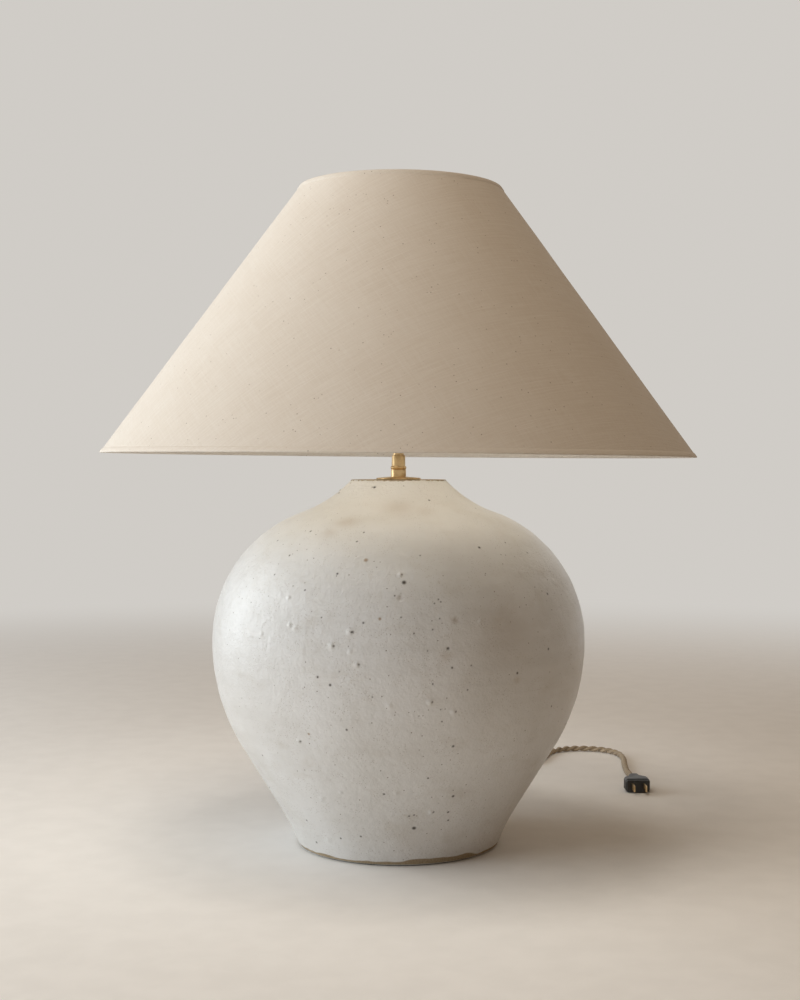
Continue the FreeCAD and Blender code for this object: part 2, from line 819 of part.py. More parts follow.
# Outwards from the bulb's thread
SCREW_SHELL_INNER = "(bulb_cap_radius + bulb_fit)"
SCREW_SHELL_RADIUS = f"({SCREW_SHELL_INNER} + screw_shell_wall)"
BLOCK_RADIUS = f"({SCREW_SHELL_RADIUS} + block_rim)"
BLOCK_FLAT = f"({BLOCK_RADIUS} - block_flat_depth)"
LINER_INNER = f"({BLOCK_RADIUS} + block_gap)"
LINER_OUTER = f"({LINER_INNER} + liner_wall)"
SHELL_INNER = f"({LINER_OUTER} + shell_gap)"
SHELL_OUTER = f"({SHELL_INNER} + shell_wall)"
CAP_INNER = f"({SHELL_OUTER} + shell_gap)"
CAP_RADIUS = f"({CAP_INNER} + cap_wall)"
LEAD_SPREAD = f"({BLOCK_FLAT} + lead_radius + lead_clear)"
KNOB_START = f"({CAP_RADIUS} + switch_knob_gap)"


def socket_cap():
    neck = f"{ROD_HOLE} + cap_neck_wall"
    corners = [
        (ROD_HOLE, SADDLE_TOP),
        (neck, SADDLE_TOP),
        (neck, up("cap_neck_height")),
        (CAP_RADIUS, up("cap_shoulder_height")),
        (CAP_RADIUS, up("cap_height")),
        (CAP_INNER, up("cap_height")),
        (CAP_INNER, up("cap_shoulder_height")),
        (neck, up("cap_neck_height + cap_wall")),
        (ROD_HOLE, up("cap_neck_height + cap_wall")),
    ]
    curve = "cap_shoulder_curve"
    turned("socket_cap", corners, {2: (curve, 1), 6: (f"{curve} - cap_wall", -1)})


def switch_opening(body, radius, inner="0"):
    """A round hole through a wall of the socket, towards the front."""
    hole = [lambda s: ring(s, "0", up("switch_height"), radius)]
    length = f"{CAP_RADIUS} + overrun - ({inner})"
    pad(body, f"{body.Name}_switch_hole", "XZ_Plane", hole, length, "Pocket", inner, True)


def socket_shell():
    corners = [
        (SHELL_INNER, up("shell_bottom")),
        (SHELL_OUTER, up("shell_bottom")),
        (SHELL_OUTER, up("shell_top - shell_rim_height")),
        (SHELL_OUTER, up("shell_top")),
        (SHELL_INNER, up("shell_top")),
    ]
    switch_opening(turned("socket_shell", corners, {2: ("shell_rim", 1)}), "switch_hole")


def socket_liner():
    bottom, top = up("shell_bottom + liner_margin"), up("shell_top - liner_margin")
    body = turned("socket_liner", tube_corners(LINER_INNER, LINER_OUTER, bottom, top))
    switch_opening(body, "switch_hole")


def socket_block():
    body = new_body("socket_block")
    round_block = [lambda s: ring(s, "0", "0", BLOCK_RADIUS)]
    bottom = up("block_bottom")
    pad(body, "block_round", "XY_Plane", round_block, "block_top - block_bottom", lift=bottom)
    reach = f"{BLOCK_RADIUS} + overrun"
    flats = []
    for side in ("", "-"):
        xs = (f"{side}{BLOCK_FLAT}", f"{side}({reach})")
        ys = (f"-({reach})", reach)
        corners = [(xs[0], ys[0]), (xs[1], ys[0]), (xs[1], ys[1]), (xs[0], ys[1])]
        flats.append(lambda s, corners=corners: outline(s, corners))
    height = "block_flat_top - block_bottom"
    pad(body, "block_flats", "XY_Plane", flats, height, "Pocket", bottom, True)
    bore = [lambda s: ring(s, "0", up("terminal_height"), "terminal_shank + terminal_gap")]
    pad(body, "block_screw_bore", "YZ_Plane", bore, f"({reach}) * 2", "Pocket", middle=True)
    switch_opening(body, "switch_shaft + switch_fit", "switch_inner - switch_end_gap")


def screw_shell():
    corners = [
        ("screw_shell_opening", up("block_top")),
        (SCREW_SHELL_RADIUS, up("block_top")),
        (SCREW_SHELL_RADIUS, up("block_top + screw_shell_height")),
        (SCREW_SHELL_INNER, up("block_top + screw_shell_height")),
        (SCREW_SHELL_INNER, up("block_top + screw_shell_wall")),
        ("screw_shell_opening", up("block_top + screw_shell_wall")),
    ]
    turned("screw_shell", corners)


def centre_contact():
    body = new_body("centre_contact")
    bottom, top = up("block_top"), up("block_top + contact_rise")
    half = "contact_half_length"
    strip = [
        (f"-{half}", bottom),
        ("-contact_step", bottom),
        ("contact_step", top),
        (half, top),
        (half, f"{top} + contact_thickness"),
        ("contact_step - contact_thickness", f"{top} + contact_thickness"),
        ("-contact_step - contact_thickness", f"{bottom} + contact_thickness"),
        (f"-{half}", f"{bottom} + contact_thickness"),
    ]
    shapes = [lambda s: outline(s, strip)]
    pad(body, "contact_strip", "XZ_Plane", shapes, "contact_width", middle=True)


def terminal_screws():
    """Two slotted screws, one each side, turned about Z and laid along X."""
    body = new_body("terminal_screws")
    body.AllowCompound = True
    head_top = f"{BLOCK_FLAT} + terminal_head"
    corners = [
        ("0", f"{BLOCK_FLAT} - terminal_shank_length"),
        ("terminal_shank", f"{BLOCK_FLAT} - terminal_shank_length"),
        ("terminal_shank", BLOCK_FLAT),
        ("terminal_radius", BLOCK_FLAT),
        ("terminal_radius", head_top),
        ("0", head_top),
    ]
    screw = turn(body, corners)
    slot = [lambda s: outline(s, rectangle("terminal_radius + overrun", "terminal_slot / 2"))]
    cut = pad(body, "screw_slot", "XY_Plane", slot, "terminal_slot_depth", "Pocket", head_top)
    pair = body.newObject("PartDesign::Mirrored", "screw_pair")
    pair.Originals = [screw, cut]
    pair.MirrorPlane = (plane_of(body, "XY_Plane"), [""])
    body.Tip = pair
    place(body, z=up("terminal_height"), axis=(0, 1, 0), angle="90")


# Turn switch: drawn along Z, then laid so that Z points to the front


def turn_switch():
    knob_end = f"({KNOB_START} + switch_knob_length)"
    shaft_end = f"({KNOB_START} + switch_knob_socket)"
    corners = tube_corners("0", "switch_shaft", "switch_inner", shaft_end)
    shaft = turned("switch_shaft", corners)
    bore = "switch_shaft + switch_fit"
    corners = [
        (bore, KNOB_START),
        ("switch_knob_radius", KNOB_START),
        ("switch_knob_radius", f"{knob_end} - switch_knob_round"),
        ("switch_knob_radius - switch_knob_round", knob_end),
        ("0", knob_end),
        ("0", f"{shaft_end} + switch_fit"),
        (bore, f"{shaft_end} + switch_fit"),
    ]
    knob = turned("switch_knob", corners, {2: ("switch_knob_round", 1)})
    groove = [lambda s: ring(s, "switch_knob_radius", "0", "switch_groove")]
    length = "switch_knob_length + overrun"
    cut = pad(knob, "knob_groove", "XY_Plane", groove, length, "Pocket", f"{knob_end} + overrun / 2")
    around(knob, "knob_grooves", [cut], "switch_grooves")
    for body in (shaft, knob):
        place(body, z=up("switch_height"), axis=(1, 0, 0), angle="90")


# Bulb: heights above its tip
BULB_NECK = "(bulb_cap_radius - bulb_neck_step)"
BULB_TIP = up("block_top + contact_rise + contact_thickness + bulb_gap")


def tip(height):
    return f"({BULB_TIP} + {height})"


def bulb_base():
    corners = [
        ("0", BULB_TIP),
        ("bulb_tip_radius / 2", BULB_TIP),
        ("bulb_tip_radius", tip("bulb_tip_height / 2")),
        ("bulb_tip_radius", tip("bulb_tip_height")),
        ("0", tip("bulb_tip_height")),
    ]
    turned("bulb_contact", corners)
    corners = [
        ("0", tip("bulb_tip_height")),
        ("bulb_tip_radius", tip("bulb_tip_height")),
        ("bulb_insulator_radius", tip("bulb_insulator_height")),
        ("0", tip("bulb_insulator_height")),
    ]
    turned("bulb_insulator", corners)
    inner = "bulb_cap_radius - bulb_cap_wall"
    flare = tip("bulb_insulator_height + bulb_cap_flare")
    corners = [
        ("bulb_insulator_radius - bulb_cap_wall", tip("bulb_insulator_height")),
        ("bulb_insulator_radius", tip("bulb_insulator_height")),
        ("bulb_cap_radius", flare),
        ("bulb_cap_radius", tip("bulb_cap_height")),
        (inner, tip("bulb_cap_height")),
        (inner, flare),
        ("bulb_insulator_radius - bulb_cap_wall", tip("bulb_insulator_height + bulb_cap_wall")),
    ]
    turned("bulb_cap", corners)


def bulb_glass():
    out, rise = f"(bulb_radius - {BULB_NECK})", "(bulb_widest - bulb_neck_end)"
    inner_neck = f"{BULB_NECK} - bulb_glass_wall"
    curve = f"(({out} * {out} + {rise} * {rise}) / (4 * {out}))"
    angle = f"asin({rise} / (2 * {curve}))"
    meet = (f"bulb_radius - {curve} * (1 - cos({angle}))", tip(f"bulb_widest - {curve} * sin({angle})"))
    inner_meet = (
        f"{meet[0]} - bulb_glass_wall * cos({angle})",
        f"{meet[1]} + bulb_glass_wall * sin({angle})",
    )
    top = tip("bulb_widest + bulb_radius")
    corners = [
        (BULB_NECK, tip("bulb_neck_start")),
        (BULB_NECK, tip("bulb_neck_end")),
        meet,
        ("bulb_radius", tip("bulb_widest")),
        ("0", top),
        ("0", f"{top} - bulb_glass_wall"),
        ("bulb_radius - bulb_glass_wall", tip("bulb_widest")),
        inner_meet,
        (inner_neck, tip("bulb_neck_end")),
        (inner_neck, tip("bulb_neck_start")),
    ]
    arcs = {
        1: (curve, -1),
        2: (curve, 1),
        3: ("bulb_radius", 1),
        5: ("bulb_radius - bulb_glass_wall", -1),
        6: (f"{curve} - bulb_glass_wall", -1),
        7: (f"{curve} + bulb_glass_wall", 1),
    }
    turned("bulb_glass", corners, arcs)


def bulb_inside():
    foot = tip("bulb_neck_start")
    radius = f"{BULB_NECK} - bulb_glass_wall - stem_gap"
    corners = [
        ("0", foot),
        (radius, foot),
        (radius, f"{foot} + stem_foot"),
        ("stem_waist", f"{foot} + stem_foot + stem_flare"),
        ("stem_waist", tip("stem_top")),
        ("0", tip("stem_top")),
    ]
    turned("bulb_stem", corners)
    low, high = tip("filament_height"), tip("filament_height + filament_rise")
    half = [
        ("filament_root", tip("stem_top")),
        ("filament_root", tip("stem_top + filament_lead")),
        ("filament_half_width", low),
        ("filament_bend_width", high),
        ("filament_middle_width", low),
    ]
    points = [point(x, "0", z) for x, z in half]
    points += [FreeCAD.Vector(-p.x, p.y, p.z) for p in reversed(points)]
    edges, _ = route_edges(points)
    soft("filament", swept(edges, value("filament_radius")))


# Shade: drawn upright, then leaned with the harp
SHADE_ANGLE = "atan((shade_bottom_radius - shade_top_radius) / shade_height)"
SHADE_BOTTOM = f"({SEAT} + shade_drop - shade_height)"
SLANT = f"(shade_height / cos({SHADE_ANGLE}))"
LINED = "(fabric_thickness + liner_thickness)"
TRIM_DEPTH = f"({LINED} + 2 * ring_wire + 2 * ring_seat)"


def slant(along, inward):
    """A corner that lies so far up the shade's slope and so far in from the fabric's outside."""
    radius = f"shade_bottom_radius - ({along}) * sin({SHADE_ANGLE}) - ({inward}) * cos({SHADE_ANGLE})"
    height = f"{SHADE_BOTTOM} + ({along}) * cos({SHADE_ANGLE}) - ({inward}) * sin({SHADE_ANGLE})"
    return (radius, height)


def level(edge, inward, up="0"):
    """How far up the slope a point lies that is level with an edge of the fabric, or so far above it."""
    return f"{edge} + (({inward}) * sin({SHADE_ANGLE}) + ({up})) / cos({SHADE_ANGLE})"


def skin(name, outer, inner):
    ends = [("0", outer), (SLANT, outer), (SLANT, inner), ("0", inner)]
    lean(turned(name, [slant(level(edge, inward), inward) for edge, inward in ends]))


RING_DEPTH = f"{LINED} + ring_seat + ring_wire"
TOP_RING = slant(level(SLANT, RING_DEPTH, "-ring_seat - ring_wire"), RING_DEPTH)
BOTTOM_RING = slant(level("0", RING_DEPTH, "ring_seat + ring_wire"), RING_DEPTH)


def wire_ring(name, centre):
    body = new_body(name)
    made = sketch_on(body, f"{name}_section", "XZ_Plane")
    ring(made, *centre, "ring_wire")
    feature = body.newObject("PartDesign::Revolution", f"{name}_hoop")
    feature.Profile = made
    feature.ReferenceAxis = (made, ["V_Axis"])
    feature.Angle = 360
    made.Visibility = False
    lean(body)


def trim(name, edge, out, lip):
    """A folded hem over one edge of the shade and its wire. out is the way off the edge."""
    back = "-" if out == "+" else "+"
    width, inside = f"{edge} {back} trim_width", level(edge, TRIM_DEPTH)
    off, far = f"{out} trim_thickness", f"{TRIM_DEPTH} + trim_thickness"
    ends = [
        (level(edge, "-trim_thickness", off), "-trim_thickness"),
        (width, "-trim_thickness"),
        (width, "0"),
        (edge, "0"),
        (inside, TRIM_DEPTH),
        (f"{inside} {back} {lip}", TRIM_DEPTH),
        (f"{inside} {back} {lip}", far),
        (level(edge, far, off), far),
    ]
    lean(turned(name, [slant(*end) for end in ends]))


def shade():
    skin("shade_fabric", "0", "fabric_thickness")
    skin("shade_liner", "fabric_thickness", LINED)
    wire_ring("shade_top_ring", TOP_RING)
    wire_ring("shade_bottom_ring", BOTTOM_RING)
    trim("top_trim", SLANT, "+", "top_trim_lip")
    trim("bottom_trim", "0", "-", "bottom_trim_lip")
    disc = tube_corners("stud_radius + hub_fit", "hub_radius", SEAT, f"{SEAT} + hub_thickness")
    lean(turned("spider_hub", disc))


def spider_arms():
    body = new_body("spider_arms")
    body.AllowCompound = True
    height = f"({SEAT} + arm_wire + arm_lift)"
    radius, ring_height = TOP_RING
    corners = [
        ("hub_radius", height),
        (f"{radius} - arm_bend", height),
        (radius, f"{height} + arm_bend"),
        (radius, f"{ring_height} - ring_wire - ring_seat"),
    ]
    path = sketch_on(body, "arm_path", "XZ_Plane")
    outline(path, corners, {1: ("arm_bend", 1)}, closed=False)
    section = sketch_on(body, "arm_section", "YZ_Plane", "hub_radius")
    ring(section, "0", height, "arm_wire")
    arm = pipe(body, "arm", path, section)
    around(body, "arms", [arm], "arm_count")
    lean(body)


def finial():
    bottom = f"({SEAT} + hub_thickness + finial_gap)"
    ball = f"({bottom} + finial_ball_height)"
    ball_start = f"{ball} - sqrt(finial_ball * finial_ball - finial_neck_radius * finial_neck_radius)"
    bore, bore_top = "stud_radius + finial_fit", f"{SEAT} + stud_reach + finial_bore_end"
    corners = [
        (bore, bottom),
        ("finial_base_radius", bottom),
        ("finial_base_radius", f"{bottom} + finial_base"),
        ("finial_neck_radius", f"{bottom} + finial_base + finial_cove"),
        ("finial_neck_radius", ball_start),
        ("0", f"{ball} + finial_ball"),
        ("0", bore_top),
        (bore, bore_top),
    ]
    lean(turned("finial", corners, {4: ("finial_ball", 1)}))


# Leads, cord and plug
RELIEF_END = f"({EXIT_SEAT} + relief_flange_thickness + relief_nose)"


def cord_strain_relief():
    """A grommet drawn along Z, then laid so that Z points to the back."""
    root = f"{EXIT_SEAT} + relief_flange_thickness"
    corners = [
        (RELIEF_BORE, f"{EXIT_SEAT} - relief_tail"),
        ("exit_bore - relief_fit", f"{EXIT_SEAT} - relief_tail"),
        ("exit_bore - relief_fit", EXIT_SEAT),
        ("relief_flange", EXIT_SEAT),
        ("relief_flange", root),
        ("relief_root", root),
    ]
    for k in range(int(value("relief_rings"))):
        share = f"{k + 1} / (relief_rings + 1)"
        outside = f"relief_root - (relief_root - relief_end) * {share}"
        inside = f"{outside} - relief_ring_depth"
        start = f"{root} + relief_nose * {share}"
        end = f"{start} + relief_ring"
        corners += [(outside, start), (inside, start), (inside, end), (outside, end)]
    corners += [("relief_end", RELIEF_END), (RELIEF_BORE, RELIEF_END)]
    place(turned("cord_strain_relief", corners), z="exit_height", axis=(1, 0, 0), angle="-90")


def lead_wires():
    """Two leads from the terminals down the rod, round the foot and out through the grommet."""
    wires = []
    for side in ("", "-"):
        points = [
            point(f"{side}{LEAD_SPREAD}", "0", up("terminal_height - terminal_radius")),
            point(f"{side}{LEAD_SPREAD}", "0", up("lead_spread_end")),
            point(f"{side}{LEAD_SPACING}", "0", up("lead_spread_start")),
            point(f"{side}{LEAD_SPACING}", "0", "exit_height"),
            point(f"{side}{LEAD_SPACING}", RELIEF_END, "exit_height"),
        ]
        edges, _ = route_edges(points, value("lead_bend"))
        wires.append(swept(edges, value("lead_radius")))
    soft("lead_wires", Part.makeCompound(wires))


COIL_HEIGHT = "(tie_thickness + tie_gap + cord_radius)"


def coil_stations():
    """The coil's centre line and its direction at even steps: in on the lower layer, out on the upper."""
    turns, pitch = value("coil_turns"), value("2 * cord_radius + cord_turn_gap")
    centre = point("coil_x", "coil_y", COIL_HEIGHT)
    steps = 2 * round(turns * 2)
    stations = []
    for k in range(steps + 1):
        done = turns * k / steps
        angle = math.pi - 2 * math.pi * done
        radius = value("coil_radius") - pitch * min(done, turns - done)
        climb = min(max((k - steps / 2 + 1) / 2, 0), 1)
        outward = FreeCAD.Vector(math.cos(angle), math.sin(angle), 0)
        along = FreeCAD.Vector(math.sin(angle), -math.cos(angle), 0)
        drift = 0 if k in (0, steps // 2, steps) else math.copysign(pitch, k - steps / 2)
        rise = pitch / (math.pi * radius) if k == steps // 2 else 0
        slope = along + outward * (drift / (2 * math.pi * radius)) + FreeCAD.Vector(0, 0, rise)
        stations.append((centre + outward * radius + FreeCAD.Vector(0, 0, pitch * climb), unit(slope)))
    return stations


def biarc(start, leaving, end, arriving):
    """Two arcs that join two points smoothly, each with its direction."""
    across, both = end - start, leaving + arriving
    bend = 2 * (1 - leaving.dot(arriving))
    along = across.dot(both)
    reach = (math.sqrt(along**2 + bend * across.dot(across)) - along) / bend
    first, second = start + leaving * reach, end - arriving * reach
    joint = (first + second) * 0.5
    return [arc_edge(start, first, joint), arc_edge(joint, second, end)]


def coil_edges():
    """The coil's arcs between a straight diameter at each end."""
    stations = coil_stations()
    straight = value("2 * cord_radius")
    (first, entering), (last, leaving) = stations[0], stations[-1]
    edges = [Part.LineSegment(first - entering * straight, first).toShape()]
    for (start, heading), (end, arriving) in zip(stations, stations[1:]):
        edges += biarc(start, heading, end, arriving)
    edges.append(Part.LineSegment(last, last + leaving * straight).toShape())
    return edges


def least_gap(edges, radius):
    """The least gap of a tube to its own turns, measured on points along its centre line."""
    points, length = [], 0
    for edge in edges:
        count = max(2, int(edge.Length / radius))
        for k in range(count):
            share = edge.FirstParameter + (edge.LastParameter - edge.FirstParameter) * k / count
            points.append((length + edge.Length * k / count, edge.valueAt(share)))
        length += edge.Length
    near = NEAR_RADII * radius
    gaps = [
        (b - a).Length - 2 * radius
        for i, (at, a) in enumerate(points)
        for other, b in points[i + 1 :]
        if other - at > near
    ]
    return min(gaps)


def length_of(edges):
    return sum(edge.Length for edge in edges)


def cord():
    radius = value("cord_radius")
    turns = coil_edges()
    entry = turns[0].valueAt(turns[0].FirstParameter)
    out = turns[-1].valueAt(turns[-1].LastParameter)
    leaving = turns[-1].tangentAt(turns[-1].LastParameter)
    start = point("0", RELIEF_END, "exit_height")
    base = [start] + [FreeCAD.Vector(*p) for p in BASE_ROUTE] + [entry]
    back = point("plug_x", "plug_back", "plug_half_thickness")
    first = out + leaving * value("cord_first_run")
    tail = [out, first] + [FreeCAD.Vector(*p) for p in PLUG_ROUTE] + [back]
    total = length_of(turns)
    for name, points in (("cord_base_run", base), ("cord_plug_run", tail)):
        edges, radii = route_edges(points)
        runs = [(b - a).Length for a, b in zip(points, points[1:])]
        print(name, "runs", [round(r, 1) for r in runs])
        print(name, "bend radii", [round(r, 1) for r in radii], "length", round(length_of(edges), 1))
        soft(name, swept(edges, radius))
        total += length_of(edges)
    soft("cord_coil", swept(turns, radius))
    print("cord_coil length", round(length_of(turns), 1), "least gap", round(least_gap(turns, radius), 2))
    print("cord length", round(total, 1))


def coil_tie():
    body = new_body("coil_tie")
    pitch = "(2 * cord_radius + cord_turn_gap)"
    near = f"coil_radius - {pitch} * coil_turns / 2 - cord_radius - tie_side_gap"
    far = "coil_radius + cord_radius + tie_side_gap"
    low, high = "tie_thickness", f"{COIL_HEIGHT} + {pitch} + cord_radius + tie_gap"
    shapes = []
    for grow in ("0", "tie_thickness"):
        xs, zs = (f"{near} - {grow}", f"{far} + {grow}"), (f"{low} - {grow}", f"{high} + {grow}")
        corners = [(xs[0], zs[0]), (xs[1], zs[0]), (xs[1], zs[1]), (xs[0], zs[1])]
        shapes.append(lambda s, corners=corners: outline(s, corners))
    pad(body, "tie_band", "XZ_Plane", shapes, "tie_width", middle=True)
    place(body, "coil_x", "coil_y", angle="tie_angle")


def plug_at(body):
    """The plug is drawn lying flat with its nose at the origin, then turned to point to the front."""
    place(body, "plug_x", "plug_back", "plug_half_thickness", (0, 0, 1), "180")


def plug():
    body = new_body("plug_body")
    side = [
        ("plug_nose_half_width", "0"),
        ("plug_nose_half_width", "plug_nose"),
        ("plug_half_width", "plug_shoulder"),
        ("plug_half_width", "plug_length"),
    ]
    other = [(f"-{x}", y) for x, y in reversed(side)]
    shapes = [lambda s: outline(s, side + other)]
    blank = pad(body, "plug_blank", "XY_Plane", shapes, "2 * plug_half_thickness", middle=True)
    doc.recompute()
    rounding = body.newObject("PartDesign::Fillet", "plug_rounding")
    rounding.Base = (blank, [f"Edge{k + 1}" for k in range(len(blank.Shape.Edges))])
    rounding.Radius = value("plug_round")
    rounding.setExpression("Radius", bound("plug_round"))
    grips = []
    for k in range(int(value("plug_grips"))):
        for sign in ("", "-"):
            along = f"plug_length - plug_round - plug_grip_start - plug_grip_spacing * {k}"
            edge = f"{sign}(plug_half_width + plug_grip_offset)"
            grips.append(lambda s, x=edge, y=along: ring(s, x, y, "plug_grip_radius"))
    reach = "2 * plug_half_thickness + overrun"
    pad(body, "plug_grips", "XY_Plane", grips, reach, "Pocket", middle=True)
    plug_at(body)


def blade_outline(sign, gap="0"):
    xs = [f"{sign}(blade_spacing / 2 {way} (blade_thickness / 2 + {gap}))" for way in "-+"]
    zs = [f"{way}(blade_width / 2 + {gap})" for way in "-+"]
    return [(xs[0], zs[0]), (xs[1], zs[0]), (xs[1], zs[1]), (xs[0], zs[1])]


def plug_face():
    body = new_body("plug_face")
    plate = rectangle("plug_half_width - plug_face_inset", "plug_half_thickness - plug_face_inset")
    shapes = [lambda s: outline(s, plate)]
    shapes += [lambda s, sign=sign: outline(s, blade_outline(sign, "blade_slot_gap")) for sign in ("", "-")]
    pad(body, "face_plate", "XZ_Plane", shapes, "plug_face_thickness", lift="-plug_length", reverse=True)
    plug_at(body)


def plug_blades():
    body = new_body("plug_blades")
    body.AllowCompound = True
    shapes = [lambda s, sign=sign: outline(s, blade_outline(sign)) for sign in ("", "-")]
    pad(body, "blade_pair", "XZ_Plane", shapes, "blade_length", lift="-plug_length", reverse=True)
    hole = [lambda s: ring(s, "plug_length + blade_length - blade_hole_inset", "0", "blade_hole")]
    pad(body, "blade_holes", "YZ_Plane", hole, "blade_spacing + overrun", "Pocket", middle=True)
    plug_at(body)


# Builds everything
ceramic_body()
base_felt()
threaded_rod()
washers()
hex_nut("bottom_nut", NUT_BOTTOM, "nut_thickness")
neck_brass()
hex_nut("saddle_nut", THIN_NUT_BOTTOM, "thin_nut_thickness")
harp_saddle()
harp()
harp_stud()
harp_sleeve("left_harp_sleeve", "-harp_span")
harp_sleeve("right_harp_sleeve", "harp_span")
socket_cap()
socket_shell()
socket_liner()
socket_block()
screw_shell()
centre_contact()
terminal_screws()
turn_switch()
bulb_base()
bulb_glass()
bulb_inside()
shade()
spider_arms()
finial()
cord_strain_relief()
lead_wires()
cord()
coil_tie()
plug()
plug_face()
plug_blades()
doc.recompute()

failed = [o.Label for o in doc.Objects if {"Invalid", "Error"} & set(o.State)]
failed += [n.Label for n in nodes if n.Shape.isNull() or not n.Shape.isValid() or not n.Shape.Solids]
if failed:
    raise RuntimeError(f"failed: {', '.join(failed)}")

os.makedirs("parts", exist_ok=True)
for node in nodes:
    node.Shape.exportStep(f"parts/{node.Label}.step")
print(len(nodes), "nodes")
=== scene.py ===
import json
import math
import random

import bmesh
import bpy
import numpy as np
from mathutils import Matrix, Vector, noise

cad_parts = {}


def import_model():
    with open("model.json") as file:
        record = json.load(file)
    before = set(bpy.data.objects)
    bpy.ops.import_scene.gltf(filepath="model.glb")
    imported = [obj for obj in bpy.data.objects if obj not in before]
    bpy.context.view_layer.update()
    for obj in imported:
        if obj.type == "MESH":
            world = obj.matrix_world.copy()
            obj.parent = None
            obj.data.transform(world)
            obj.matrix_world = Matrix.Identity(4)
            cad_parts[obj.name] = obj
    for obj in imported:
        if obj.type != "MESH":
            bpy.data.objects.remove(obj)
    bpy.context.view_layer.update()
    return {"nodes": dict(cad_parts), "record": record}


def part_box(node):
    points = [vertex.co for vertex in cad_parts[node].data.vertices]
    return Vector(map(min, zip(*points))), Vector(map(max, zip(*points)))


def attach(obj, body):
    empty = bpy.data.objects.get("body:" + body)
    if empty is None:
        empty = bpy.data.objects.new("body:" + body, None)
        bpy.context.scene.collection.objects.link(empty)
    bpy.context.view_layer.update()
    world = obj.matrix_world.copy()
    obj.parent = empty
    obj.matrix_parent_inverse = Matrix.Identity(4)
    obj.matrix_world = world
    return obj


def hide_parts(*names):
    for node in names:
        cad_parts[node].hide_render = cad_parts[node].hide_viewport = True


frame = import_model()

# Everything is in metres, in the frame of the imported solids: +Z up, the front at -Y.

# The photograph's view
PHOTO_WIDTH = 800
PHOTO_HEIGHT = 1000
FOCAL_PIXELS = 1501.8
SENSOR_WIDTH = 36
CAMERA_PLACE = (0.0014, -1.4237, 0.35706)
LOOK_DOWN = math.radians(1.325)

# The vessel: its outer sizes are the frame's, and the other lengths and shares are the solid's own
VESSEL_LOW, VESSEL_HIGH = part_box("ceramic_body")
BELLY_RADIUS = VESSEL_HIGH.x
NECK_HEIGHT = VESSEL_HIGH.z
FOOT_HEIGHT = VESSEL_LOW.z
FOOT_RADIUS = 0.0946
FOOT_WALL = 0.012
FOOT_CURVE = 0.203
FOOT_CURVE_HEIGHT = 0.038
BELLY_HEIGHT = 0.1924
BELLY_SPREAD_SHARE = 0.3437
BELLY_RISE_SHARE = 0.5101
SHOULDER_SPREAD_SHARE = 0.649
SHOULDER_RISE_SHARE = 0.794
NECK_RADIUS = 0.0454
NECK_EDGE = 0.0014
NECK_BORE = 0.014
NECK_INNER_RADIUS = 0.036
DECK_THICKNESS = 0.007
WALL = 0.007
FLOOR_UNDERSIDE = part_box("bottom_washer")[1].z
FLOOR_THICKNESS = 0.008
FLOOR_BORE = 0.006

# Where the cord leaves the foot
EXIT_HEIGHT = 0.014
EXIT_SEAT = 0.0955
SEAT_RADIUS = 0.00755
SEAT_SNAP = 0.0009
SEAT_BORDER = 1.15
TINY = 1e-5

# The shade, drawn upright and then leaned
SHADE_BOTTOM_RADIUS = 0.2774
SHADE_TOP_RADIUS = 0.095
SHADE_HEIGHT = 0.2504
SHADE_BOTTOM = 0.3669
FABRIC_THICKNESS = 0.0008
LINER_THICKNESS = 0.0005
LINER_GAP = 0.00005
CLOTH_RIPPLE = 0.0002
CLOTH_WAVES = (4, 22)
TRIM_THICKNESS = 0.0005
TRIM_WIDTH = 0.005
TRIM_TAPER = 0.0014
TRIM_BEND = 0.0007
TOP_TRIM_LIP = 0.0016
BOTTOM_TRIM_LIP = 0.0044
TRIM_DEPTH = 0.0044
SEAM_WIDTH = 0.012
SEAM_ROWS = 50
SEAM_CUT_TURN = 0.3
SEAM_SECTION = ((-0.5, 0.00023), (-0.42, 0.0008), (0.42, 0.0008), (0.5, 0.00023))
LEAN_POINT = Vector((0, 0, 0.3846))
LEAN = math.radians(0.5)

# The cord: its route's control points, and the coil between the two stretches
CORD_DIAMETER = 0.007
CORD_EXIT = (0, 0.12, 0.014)
BASE_ROUTE = [CORD_EXIT, (0, 0.139, 0.014), (0.003, 0.162, 0.0075), (0.0075, 0.186, 0.0044)]
PLUG_ROUTE = [
    (0.0509, 0.2688, 0.0119), (0.078, 0.286, 0.0065), (0.107, 0.305, 0.0036),
    (0.136, 0.328, 0.0036), (0.160, 0.356, 0.0036), (0.177, 0.388, 0.0036),
    (0.186, 0.422, 0.0036), (0.204, 0.441, 0.0036), (0.230, 0.446, 0.0036),
    (0.255, 0.436, 0.0036), (0.270, 0.413, 0.0036), (0.271, 0.378, 0.0036),
    (0.266, 0.341, 0.0036), (0.263, 0.303, 0.0038), (0.261, 0.263, 0.0076),
    (0.261, 0.240, 0.0076),
]
COIL_CENTRE = (0.0541, 0.215)
COIL_RADIUS = 0.0466
COIL_TURNS = 5.157
COIL_PITCH = 0.0075
COIL_LOW = 0.0044
COIL_STEPS = 20
STRAND_RADIUS = 0.00185
STRAND_PITCH = 0.023
CORD_STEP = 0.0016
STRAND_COLUMNS = 10
BRAIDS_PER_METRE = 700


# Stage: camera and lamps


def aim(thing, target):
    thing.rotation_euler = (Vector(target) - thing.location).to_track_quat("-Z", "Y").to_euler()


